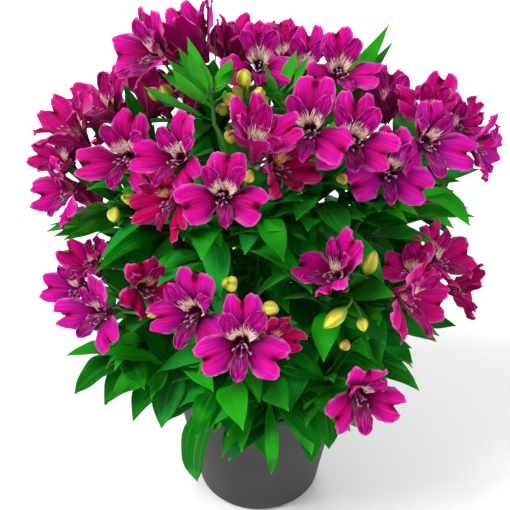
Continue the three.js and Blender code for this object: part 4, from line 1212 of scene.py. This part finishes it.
def stalkPoints(head, end, axis, sway, steps):
    reach = (end - head).length
    side = Vector((-axis.y, axis.x, 0)).normalized()
    pullStart = head + Vector((0, 0, 0.35 * reach)) + side * sway
    pullEnd = end - axis * (0.4 * reach) + side * sway
    return [bezier(head, pullStart, pullEnd, end, i / steps) for i in range(steps + 1)]


# A bud or an ovary: an outline of places along it and shares of its radius
def addSwelling(lines, part, end, axis, length, radius, outline, mood):
    points = [end + axis * (length * place) for place, wide in outline]
    halves = [radius * wide for place, wide in outline]
    lines.add(greenParts[part], points, halves, [zUp] * len(points), mood)


# Of the sways, a stalk has the one whose middle lies in the solids' node. It ends in a bud, given
# as its length and radius, or in the ovary of an open bloom
def addStalk(lines, owner, base, axis, bud, chance):
    head = Vector(stemTable[owner][1])
    end = base if bud else base - axis * stalkSizes["gap"]

    def distance(sway):
        return stemSkins[owner].find_nearest(stalkPoints(head, end, axis, sway, 2)[1])[3]
    points = stalkPoints(head, end, axis, min(sways, key=distance), stalkSizes["steps"])
    halves = [stalkSizes["radius"]] * len(points)
    lines.add(greenParts["stalk"], points, halves, [zUp] * len(points), (chance, 0))
    if bud:
        addSwelling(lines, "bud", end, axis, *bud, budOutline, (chance, 0))
    else:
        addSwelling(lines, "ovary", end, axis, stalkSizes["ovaryLength"], stalkSizes["ovary"],
                    ovaryOutline, (chance, 1))


def leafCourse(root, tip, droop):
    leans = [-droop * ((i + 0.5) / curveSteps) ** bendPower for i in range(curveSteps)]
    level = sum(math.cos(math.radians(lean)) for lean in leans) / curveSteps
    height = sum(math.sin(math.radians(lean)) for lean in leans) / curveSteps
    span = tip - root
    azimuth = math.degrees(math.atan2(span.x, -span.y))
    rise = math.degrees(math.atan2(span.z, math.hypot(span.x, span.y)) - math.atan2(height, level))
    length = span.length / math.hypot(level, height)
    course = [(root.copy(), heading(azimuth, rise))]
    for lean in leans:
        along = heading(azimuth, rise + lean)
        course.append((course[-1][0] + along * (length / curveSteps), along))
    return course, heading(azimuth + 90, 0)


def addLeaf(lines, root, tip, width, droop, twist, mood, part="leaf"):
    course, side = leafCourse(root, tip, droop)
    ups = []
    for i, (point, along) in enumerate(course):
        upright = along.cross(side).normalized()
        angle = math.radians(twist * i / curveSteps)
        ups.append(upright * math.cos(angle) - side * math.sin(angle))
    points = [point for point, along in course]
    lines.add(greenParts[part], points, [width / 2] * len(points), ups, mood)


# The solids' rule for the leaves round a stem or a shoot: a golden turn from one to the next, what
# chance gives in mm, degrees and shares, and the lifts and turns that a leaf may take
leafRule = {
    "goldenTurn": 137.5, "length": 95, "shorter": 30, "stretch": (0.85, 1.15),
    "width": (0.3, 0.37), "rise": (-12, 34), "droop": (25, 70), "twist": (0, 30),
    "lifts": (0, 18, -18), "turns": (0, 22, -22, 44, -44, 70, -70, 100, -100),
    "onStems": (0.36, 0.97), "onShoots": (0.45, 1),
}
placedTurns = (0, 6, -6, 12, -12, 18, -18, 26, -26, 36, -36)    # degrees, for a leaf with a place


# The same draws as the solids', one list of the places it may take for each leaf
def ruledLeaves(pointAt, count, ends, scale, seed):
    rule = leafRule
    draws = numberStream(seed)
    for k in range(count):
        share = mix(*ends, k / (count - 1) if count > 1 else 1)
        root = pointAt(share)
        outward = math.degrees(math.atan2(root.x, -root.y))
        spiral = (k * rule["goldenTurn"] + 360 * next(draws)) % 360 - 180
        length = scale * (rule["length"] - rule["shorter"] * share) * mix(*rule["stretch"], next(draws))
        width = length * mix(*rule["width"], next(draws))
        rise = mix(*rule["rise"], next(draws)) + 24 * share - 12
        droop = mix(*rule["droop"], next(draws))
        twist = mix(*rule["twist"], next(draws))
        places = []
        for lift in rule["lifts"]:
            for turn in rule["turns"]:
                aim = heading(outward + spiral * 0.6 + turn, rise - droop * 0.4 + lift)
                places.append((root, root + aim * length, width, droop, twist))
        yield places


def shootsOf(name):
    return [row for row in shootTable if row[0] == name]


def placedLeaf(row):
    owner, number, share, tip, width, droop, twist = row
    if number:
        root = shootPoint(shootsOf(owner)[number - 1], share)
    else:
        root = stemPoint(owner, share)
    span = Vector(tip) - root
    places = []
    for turn in placedTurns:
        spun = Quaternion((0, 0, 1), math.radians(turn)) @ span
        places.append((root, root + spun, width, droop, twist))
    return places


# How young the placed leaves are, by stem and shoot (0 is the stem itself), and how wide the
# youngest are as a share of the solids' width
youngShoots = {("centre", 1): 1, ("top_right", 1): 1, ("top_right", 0): 0.4}
youngWidth = 0.56
# Leaves that the photograph shows slimmer than the solids, by their tip: share of the solids'
# width, and how young
slimmed = {
    (-186, -12, 300): (0.55, 0.9), (-186, 4, 262): (0.7, 0.7), (-188, -8, 240): (0.7, 0.3),
    (166, -12, 334): (0.62, 0.2), (188, -8, 306): (0.62, 0.2), (10, -130, 122): (0.5, 0),
}
# Where the whorls of young leaves on the two crown shoots are, above the shoot's tip in the solids.
# A leaf whose share along the shoot is 1 starts at the whorl, and at 0.8 at the tip below it
whorls = {("centre", 1): (-38, -30, 428), ("top_right", 1): (12, -14, 420)}
whorlSpan = 0.2

# Leaves and small buds that the solids leave out: slim ones in the crown and at the plant's edge,
# and a few over the pot. Their rows are like those of the tables above, and a leaf's row ends with
# how young it is
slimLeaves = [
    ("centre", 1, 1, (-22, -28, 456), 11, -15, 80, 0.9),
    ("centre", 1, 0.98, (-44, -30, 456), 11, -20, 160, 0.9),
    ("centre", 1, 0.9, (-58, -16, 436), 13, -10, 90, 0.9),
    ("centre", 1, 0.92, (-24, -48, 436), 12, 20, 40, 0.9),
    ("centre", 1, 1, (-56, -10, 467), 10, -10, -60, 1),
    ("centre", 1, 0.97, (-63, -15, 460), 10, -5, -60, 0.9),
    ("centre", 1, 0.95, (-71, -20, 452), 10, 0, -60, 0.9),
    ("centre", 1, 0.9, (-77, -24, 443), 10, 10, -50, 1),
    ("centre", 1, 0.96, (-21, -20, 451), 10, 0, 60, 0.9),
    ("top_right", 1, 0.96, (2, -20, 450), 11, -10, -60, 0.9),
    ("top_right", 1, 0.98, (28, -10, 456), 11, -10, 70, 0.9),
    ("top_right", 1, 0.9, (4, -36, 430), 12, 20, 40, 0.9),
    ("top_left", 0, 0.95, (-81, 20, 439), 18, 0, -40, 0.5),
    ("top_left", 0, 0.98, (-65, 20, 438), 16, 0, -40, 0.6),
    ("top_left", 0, 0.97, (-28, 40, 440), 15, 0, 40, 0.3),
    ("top_left", 0, 1, (-37, 45, 460), 9, -10, 60, 0.3),
    ("left", 0, 1, (-114, 25, 417), 18, 0, -40, 0.1),
    ("left", 0, 1, (-151, 40, 374), 18, 10, -40, 0),
    ("far_left", 0, 1, (-164, 30, 352), 20, 10, -40, 0),
    ("far_left", 0, 0.97, (-172, 20, 342), 18, 10, -40, 0),
    ("far_left", 0, 1, (-133, 0, 335), 20, 10, -40, 0),
    ("right", 0, 0.9, (42, -6, 356), 24, 0, 40, 0.2),
    ("right", 0, 0.9, (80, -6, 350), 22, 0, 20, 0.2),
    ("left", 0, 0.7, (-134, -12, 262), 20, 10, -50, 0),
    ("far_left", 0, 1, (-185, -16, 296), 13, 20, -60, 1),
    ("far_left", 0, 0.97, (-181, -10, 288), 13, 10, -60, 1),
    ("far_left", 0, 0.99, (-166, -36, 300), 13, 10, -60, 1),
    ("far_left", 0, 0.95, (-158, -26, 302), 14, 10, -60, 1),
    ("left", 0, 0.9, (-130, -75, 302), 13, 40, 0, 0),
    ("far_right", 0, 0.95, (190, 10, 344), 12, 10, 50, 0.3),
    ("far_right", 0, 0.97, (172, 0, 337), 12, 20, 30, 0.3),
    ("right", 0, 0.8, (182, 0, 312), 16, 10, 30, 0.2),
    ("low_right", 2, 0.8, (166, -22, 256), 22, 30, 10, 0),
    ("low_left", 1, 0.85, (-102, -102, 168), 24, 60, 0, 0),
    ("low_left", 2, 0.8, (-134, -96, 170), 20, 50, 0, 0),
    ("low_front", 1, 0.5, (12, -128, 128), 23, 50, 20, 0),
]
crownBuds = [
    ("top_right", (-12, -18, 430), -10, 72, 17, 6),
    ("top_right", (-20, -22, 418), -60, 40, 14, 5),
    ("top_right", (-4, -20, 420), 40, 50, 15, 5.5),
    ("top_left", (-72, -14, 418), -30, 60, 17, 5),
]


def whorlStart(row):    # where a crown shoot's leaf starts; every other leaf keeps its own root
    owner, number, share = row[:3]
    if (owner, number) not in whorls:
        return None
    tip = shootPoint(shootsOf(owner)[number - 1], 1)
    return tip.lerp(Vector(whorls[owner, number]), 1 - (1 - share) / whorlSpan)


tipSlack = 0.06    # mm between a leaf's tip and a corner of its node


# A leaf took the place whose tip is a corner of its node; with none, the solids lack that leaf
def takenPlace(owner, places):
    near = [(stemCorners[owner].find(place[1])[2], index) for index, place in enumerate(places)]
    best, index = min(near)
    return places[index] if best < tipSlack else None


# Small leaves inside the plant, which the solids leave out: a whorl of bracts where the flower
# stalks start, upright leaves between the stalks, and leaves all the way round each stem. They
# keep off the blooms and inside the plant's outline, which reaches further beside a bloom.
innerLeaves = {    # how many on a stem; lengths and reaches in mm, rises in degrees
    "bracts": 9, "bractLength": (28, 56), "bractRise": (5, 60), "bractYoung": 0.8,
    "upright": 10, "uprightLength": (50, 88), "uprightRise": (46, 84), "uprightYoung": 0.3,
    "round": 14, "length": (50, 78), "rise": (-10, 40), "from": 0.3, "to": 0.97,
    "swing": 25, "droop": (20, 65), "width": (0.26, 0.36), "twist": (-20, 40),
    "turns": (0, 40, -40, 80, -80, 120, -120, 160, 20, -20, 60, -60, 100, -100), "shrink": 0.985,
    "clearOfBlooms": 4, "checked": (10, 17, curveSteps), "middle": (0, 0, 250),
    "reach": (172, 158, 205), "nearBlooms": 16, "furthest": (192, 178, 222),
}


def isInside(root, tip, droop):
    def isNearBloom(point, reach):
        return any(skin.find_nearest(point, reach)[0] for skin in bloomSkins.values())
    sheltered = isNearBloom(tip, innerLeaves["nearBlooms"])
    reach = innerLeaves["furthest" if sheltered else "reach"]
    middle = innerLeaves["middle"]
    if sum(((tip[i] - middle[i]) / reach[i]) ** 2 for i in range(3)) >= 1:
        return False
    course = leafCourse(root, tip, droop)[0]
    return not any(isNearBloom(course[place][0], innerLeaves["clearOfBlooms"])
                   for place in innerLeaves["checked"])


# Where each small leaf of a stem starts, its azimuth, range of lengths and rises, and how young it is
def innerRows(name):
    sizes = innerLeaves
    goldenTurn = leafRule["goldenTurn"]
    head = Vector(stemTable[name][1])
    rows = [(head, 360 / sizes["bracts"] * k, sizes["bractLength"], sizes["bractRise"],
             sizes["bractYoung"]) for k in range(sizes["bracts"])]
    for k in range(sizes["upright"]):
        share = mix(0.86, 1, k / (sizes["upright"] - 1))
        rows.append((stemPoint(name, share), goldenTurn * k + 40, sizes["uprightLength"],
                     sizes["uprightRise"], sizes["uprightYoung"]))
    for k in range(sizes["round"]):
        share = mix(sizes["from"], sizes["to"], k / (sizes["round"] - 1))
        rows.append((stemPoint(name, share), goldenTurn * k, sizes["length"], sizes["rise"], 0))
    return rows


def addInnerLeaves(lines, name, seed):
    draws = numberStream(seed)
    made = 0
    for root, azimuth, lengths, rises, young in innerRows(name):
        azimuth += swing(innerLeaves["swing"], next(draws))
        length = mix(*lengths, next(draws))
        rise = mix(*rises, next(draws))
        droop = mix(*innerLeaves["droop"], next(draws))
        width = length * mix(*innerLeaves["width"], next(draws))
        twist = mix(*innerLeaves["twist"], next(draws))
        mood = (next(draws), young)
        for turn in innerLeaves["turns"]:
            length *= innerLeaves["shrink"]
            tip = root + heading(azimuth + turn, rise - droop * 0.4) * length
            if isInside(root, tip, droop):
                addLeaf(lines, root, tip, width, droop, twist, mood, "small")
                made += 1
                break
    return made


def addStem(lines, name, chance):
    foot = stemTable[name][0]
    steps = stemSizes["steps"]
    points = [Vector((*foot, stemSizes["rootDepth"]))]
    points += [stemPoint(name, i / steps) for i in range(steps + 1)]
    halves = [stemSizes["foot"]]
    halves += [mix(stemSizes["foot"], stemSizes["head"], i / steps) for i in range(steps + 1)]
    halves[-2:] = stemSizes["neck"]
    head = points[-1]
    onward = (head - points[-2]).normalized()
    for ahead, half in stemSizes["knob"]:
        points.append(head + onward * ahead)
        halves.append(half)
    lines.add(greenParts["stem"], points, halves, [zUp] * len(points), (chance, 0))


def addShoot(lines, row, whorl, chance):    # a crown shoot goes on to its whorl of young leaves
    steps = shootSizes["steps"]
    points = [shootPoint(row, i / steps) for i in range(steps + 1)]
    if whorl:
        tip = points[-1]
        more = shootSizes["whorlSteps"]
        points += [tip.lerp(Vector(whorl), i / more) for i in range(1, more + 1)]
    last = len(points) - 1
    end = shootSizes["tip"] * shootSizes["taper"]
    halves = [mix(shootSizes["root"], end, i / last) for i in range(last + 1)]
    lines.add(greenParts["stem"], points, halves, [zUp] * len(points), (chance, 0))


def addStalks(lines, name, chances):
    rows = [(row, None) for row in bloomTable] + [(row, row[4:]) for row in budTable + crownBuds]
    for row, bud in rows:
        if row[0] == name:
            addStalk(lines, name, Vector(row[1]), heading(*row[2:4]), bud, next(chances))


# The leaves that the solids may have on a stem: how young, share of the solids' width, where it
# starts if not at its place's root, and its places
def leafRows(name, index):
    rows = []
    for row in leafTable:
        if row[0] == name:
            young = youngShoots.get(row[:2], 0)
            slim, young = slimmed.get(row[3], (mix(1, youngWidth, young), young))
            rows.append((young, slim, whorlStart(row), placedLeaf(row)))
    for k, row in enumerate(shootsOf(name)):
        seed = 31 * index + k + seeds["shootLeaves"]
        ruled = ruledLeaves(partial(shootPoint, row), row[2], leafRule["onShoots"], row[3], seed)
        rows += [(0, 1, None, places) for places in ruled]
    ruled = ruledLeaves(partial(stemPoint, name), stemTable[name][2], leafRule["onStems"], 1,
                        seeds["stemLeaves"] + index)
    return rows + [(0, 1, None, places) for places in ruled]


def addLeaves(lines, name, index, chances):
    made = 0
    for young, slim, start, places in leafRows(name, index):
        taken = takenPlace(name, places)
        if taken:
            root, tip, width, droop, twist = taken
            addLeaf(lines, start or root, tip, width * slim, droop, twist, (next(chances), young))
            made += 1
    for *row, young in slimLeaves:
        if row[0] == name:
            root, *rest = placedLeaf(row)[0]
            addLeaf(lines, whorlStart(row) or root, *rest, (next(chances), young))
    return made


def buildGreens():
    tree = greenTree()
    leafCount = 0
    innerCount = 0
    for index, name in enumerate(stemTable):
        chances = numberStream(seeds["greenDetail"] + index)
        lines = Lines()
        addStem(lines, name, next(chances))
        for number, row in enumerate(shootsOf(name), 1):
            addShoot(lines, row, whorls.get((name, number)), next(chances))
        addStalks(lines, name, chances)
        leafCount += addLeaves(lines, name, index, chances)
        innerCount += addInnerLeaves(lines, name, seeds["innerLeaves"] + index)
        piece = grown("fine_stem_" + name, lines.mesh(name), tree, greenChoices, {
            "Stem": stemGreen, "Bud": budSkin, "Leaf": leafGreen})
        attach(piece, "root")
        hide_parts("stem_" + name)
    print("greens made:", len(stemTable), "pieces with", leafCount, "leaves and",
          innerCount, "small inner ones")


buildGreens()


# The pot and its soil, turned from their profiles; measures in mm
potChoices = {
    "baseRadius": 60, "topRadius": 85, "height": 142, "wall": 1.8, "floor": 2.5,
    "heelRound": 6, "heelOut": 1.2, "heelSteps": 8, "wallSteps": 12,
    "rimHeight": 11, "rimOut": 2.4, "segments": 96,
    "drainHoles": 6, "drainRadius": 5, "drainCircle": 42, "drillReach": 6, "drillSides": 24,
    "sharpFrom": 40,    # degrees between faces that meet in a sharp edge
    "plastic": (47, 45, 46), "worn": (63, 61, 61), "dust": (104, 97, 90),
}
soilChoices = {
    "top": 125, "crown": 2, "gap": 0.6, "lift": 0.3, "rings": 30, "rough": 1.4,
    "wet": (34, 23, 17), "dry": (86, 62, 46), "crumb": (120, 92, 70),
}
crumbChoices = {"Density": 52000.0, "Smallest": 0.5 * mm, "Largest": 2.1 * mm, "Seed": 4}


def turnedMesh(title, profile, segments):    # a profile of radii and heights, from axis to axis
    points = []
    rings = []
    for radius, height in profile:
        count = 1 if radius == 0 else segments
        rings.append([len(points) + k for k in range(count)])
        for k in range(count):
            angle = 2 * math.pi * k / segments
            points.append(Vector((radius * math.cos(angle), radius * math.sin(angle), height)) * mm)
    faces = []
    for lower, upper in zip(rings, rings[1:]):
        for k in range(segments):
            corners = [lower[k % len(lower)], lower[(k + 1) % len(lower)],
                       upper[(k + 1) % len(upper)], upper[k % len(upper)]]
            faces.append(list(dict.fromkeys(corners)))
    made = bpy.data.meshes.new(title)
    made.from_pydata(points, [], faces)
    made.validate()
    return made


def plasticMaterial():
    material, tree, shader = newMaterial("plastic", 0.6, **{"Specular IOR Level": 0.35})
    patches, fine = useGroup(tree, mottle, Scale=16, Detail=4)
    grit, specks = useGroup(tree, mottle, Scale=120, Detail=4)
    place = tree.nodes.new("ShaderNodeTexCoord").outputs["Object"]
    turned = addNode(tree, "ShaderNodeMapping", {
        "Vector": place, "Rotation": (0.5, 0.9, 0.3), "Scale": (1, 14, 1)})    # long slanted scuffs
    scuffs = addNode(tree, "ShaderNodeTexNoise", {
        "Vector": turned.outputs[0], "Scale": 26, "Detail": 4})
    scuff = Wire(tree, scuffs.outputs[0]).step(0.62, 0.7)
    colour = blend(tree, patches.step(0.35, 0.7) * 0.6,
                   paint(*potChoices["plastic"]), paint(*potChoices["worn"]))
    colour = blend(tree, scuff * patches * 0.3, colour, paint(*potChoices["dust"]))
    colour = blend(tree, specks.step(0.66, 0.74) * 0.3, colour, paint(*potChoices["dust"]))
    plug(tree, colour, shader.inputs["Base Color"])
    plug(tree, 0.5 + patches * 0.2 + scuff * 0.1, shader.inputs["Roughness"])
    bumped(tree, shader, fine * 0.5 + grit * 0.3 + scuff * 0.2, 0.25, 0.0005)
    return material


def wallAt(height):    # the outer radius of the pot's wall
    return mix(potChoices["baseRadius"], potChoices["topRadius"], height / potChoices["height"])


# From the middle of the underside round the heel, up the wall, over the stepped rim and back inside
def potProfile():
    size = potChoices
    heel = size["heelRound"]
    flat = size["baseRadius"] - heel
    profile = [(0, 0), (flat, 0)]
    for i in range(1, size["heelSteps"] + 1):
        angle = i / size["heelSteps"] * math.pi / 2 * 0.9
        radius = flat + (heel + size["heelOut"]) * math.sin(angle)
        profile.append((radius, heel * (1 - math.cos(angle))))
    step = size["height"] - size["rimHeight"]
    for i in range(1, size["wallSteps"]):
        height = mix(heel, step, i / size["wallSteps"])
        profile.append((wallAt(height), height))
    under = wallAt(step)
    lip = size["topRadius"] + size["rimOut"]
    inside = size["topRadius"] - size["wall"]
    top = size["height"]
    return profile + [
        (under - 0.1, step), (under + 0.6, step + 0.1),
        (under + size["rimOut"] - 0.5, step + 0.4), (under + size["rimOut"], step + 1.1),
        (lip, top - 1.2), (lip - 0.3, top - 0.4), (lip - 1, top),
        (inside + 0.5, top), (inside, top - 0.5),
        (wallAt(heel) - size["wall"], heel), (flat, size["floor"]), (0, size["floor"]),
    ]


def drillMesh():    # one short rod for each drain hole
    size = potChoices
    reach = size["drillReach"]
    rod = turnedMesh("drill", [(0, -reach), (size["drainRadius"], -reach),
                               (size["drainRadius"], reach), (0, reach)], size["drillSides"])
    points = []
    faces = []
    for k in range(size["drainHoles"]):
        angle = 2 * math.pi * (k + 0.5) / size["drainHoles"]
        far = size["drainCircle"]
        spot = Vector((far * math.cos(angle), far * math.sin(angle), 0)) * mm
        faces += [[corner + len(points) for corner in face.vertices] for face in rod.polygons]
        points += [vertex.co + spot for vertex in rod.vertices]
    made = bpy.data.meshes.new("drills")
    made.from_pydata(points, [], faces)
    return made


def buildPot():
    pot = bpy.data.objects.new("fine_pot", turnedMesh("fine_pot", potProfile(), potChoices["segments"]))
    bpy.context.scene.collection.objects.link(pot)
    cutter = bpy.data.objects.new("drills", drillMesh())
    bpy.context.scene.collection.objects.link(cutter)
    cut = pot.modifiers.new("drain holes", "BOOLEAN")
    cut.object = cutter
    cut.solver = "EXACT"
    bpy.context.view_layer.update()
    seen = pot.evaluated_get(bpy.context.evaluated_depsgraph_get())
    pot.data = bpy.data.meshes.new_from_object(seen)
    pot.modifiers.clear()
    bpy.data.objects.remove(cutter)
    pot.data.materials.append(plasticMaterial())
    pot.data.shade_smooth()
    pot.data.set_sharp_from_angle(angle=math.radians(potChoices["sharpFrom"]))
    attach(pot, "root")
    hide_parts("pot")
    print("pot made:", len(pot.data.polygons), "faces")


def soilMaterial():
    material, tree, shader = newMaterial("earth", 0.95, **{"Specular IOR Level": 0.2})
    patches, fine = useGroup(tree, mottle, Scale=90, Detail=5)
    colour = blend(tree, patches.step(0.35, 0.65),
                   paint(*soilChoices["wet"]), paint(*soilChoices["dry"]))
    colour = blend(tree, fine.step(0.62, 0.75) * 0.5, colour, paint(*soilChoices["crumb"]))
    plug(tree, colour, shader.inputs["Base Color"])
    plug(tree, 0.85 + fine * 0.15, shader.inputs["Roughness"])
    bumped(tree, shader, fine, 0.8, 0.0012)
    return material


# Crumbs of soil scattered on what faces up
def crumbTree():
    tree, wires = newTree("crumbs", crumbChoices, ["Earth"])
    plugMesh = wires["Geometry"].socket
    normal = tree.nodes.new("GeometryNodeInputNormal").outputs[0]
    facing = addNode(tree, "ShaderNodeSeparateXYZ", {0: normal})
    upward = Wire(tree, facing.outputs[2]).math("GREATER_THAN", 0.5)
    spots = addNode(tree, "GeometryNodeDistributePointsOnFaces", {
        "Mesh": plugMesh, "Selection": upward, "Density": wires["Density"],
        "Seed": wires["Seed"]}).outputs[0]
    crumb = addNode(tree, "GeometryNodeMeshIcoSphere", {"Radius": 1.0, "Subdivisions": 1}).outputs[0]
    turn = addNode(tree, "FunctionNodeRandomValue", {"Min": (0, 0, 0), "Max": (6, 6, 6), "Seed": 2},
                   data_type="FLOAT_VECTOR").outputs[0]
    sizes = addNode(tree, "FunctionNodeRandomValue", {
        "Min": wires["Smallest"], "Max": wires["Largest"], "Seed": 3}, data_type="FLOAT")
    size = Wire(tree, next(each for each in sizes.outputs if each.enabled))
    flat = addNode(tree, "ShaderNodeCombineXYZ", {0: size, 1: size * 0.8, 2: size * 0.6}).outputs[0]
    crumbs = addNode(tree, "GeometryNodeInstanceOnPoints", {
        "Points": spots, "Instance": crumb, "Rotation": turn, "Scale": flat}).outputs[0]
    endTree(tree, [painted(tree, plugMesh, wires["Earth"]), painted(tree, crumbs, wires["Earth"])])
    return tree


def buildSoil():
    size = soilChoices
    draws = numberStream(seeds["soil"])

    def innerAt(height):
        return wallAt(height) - potChoices["wall"] - size["gap"]
    edge = size["top"] - size["crown"]
    low = potChoices["floor"] + size["lift"]
    heel = potChoices["heelRound"]
    profile = [(0, low), (potChoices["baseRadius"] - heel - 1, low), (innerAt(heel), heel + 1)]
    for i in range(size["rings"]):
        share = i / size["rings"]
        profile.append((innerAt(edge) * (1 - share), mix(edge, size["top"], share)))
    profile.append((0, size["top"]))
    made = turnedMesh("soil", profile, potChoices["segments"])
    for vertex in made.vertices:
        inside = math.hypot(vertex.co.x, vertex.co.y) / mm < innerAt(edge) - 1
        if vertex.co.z / mm > edge - 0.5 and inside:
            vertex.co.z += mix(-size["rough"], size["rough"] * 0.2, next(draws)) * mm
    soil = grown("fine_soil", made, crumbTree(), crumbChoices, {"Earth": soilMaterial()})
    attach(soil, "root")
    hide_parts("soil")
    print("soil made:", len(soil.data.polygons), "faces")


buildPot()
buildSoil()


# A plain pale floor and soft studio light
stageChoices = {
    "floor": (244, 244, 244), "reach": 6, "sky": 0.62, "aim": (0, 0, 0.25),    # metres
    "lamps": [("key", (-1.3, -0.7, 2.1), 22, 2.6), ("fill", (1.4, -0.9, 1.1), 40, 0.95),
              ("back", (0.3, 1.5, 1.7), 30, 1.1)],    # name, place, width in degrees, strength
}


def buildStage():
    floorMesh = bpy.data.meshes.new("floor")
    reach = stageChoices["reach"]
    corners = [(-reach, -reach, 0), (reach, -reach, 0), (reach, reach, 0), (-reach, reach, 0)]
    floorMesh.from_pydata(corners, [], [(0, 1, 2, 3)])
    floor = bpy.data.objects.new("floor", floorMesh)
    bpy.context.scene.collection.objects.link(floor)
    pale = newMaterial("floor", 0.9, **{"Base Color": paint(*stageChoices["floor"])})[0]
    floorMesh.materials.append(pale)
    world = bpy.data.worlds.new("studio")
    world.use_nodes = True
    sky = world.node_tree.nodes["Background"]
    sky.inputs["Color"].default_value = (1, 1, 1, 1)
    sky.inputs["Strength"].default_value = stageChoices["sky"]
    bpy.context.scene.world = world
    for title, place, spread, power in stageChoices["lamps"]:
        data = bpy.data.lights.new(title, "SUN")
        data.angle = math.radians(spread)
        data.energy = power
        lamp = bpy.data.objects.new(title, data)
        lamp.location = place
        aim = Vector(stageChoices["aim"]) - Vector(place)
        lamp.rotation_euler = aim.to_track_quat("-Z", "Y").to_euler()
        bpy.context.scene.collection.objects.link(lamp)
    bpy.context.scene.view_settings.view_transform = "Standard"
    print("stage set")


buildStage()
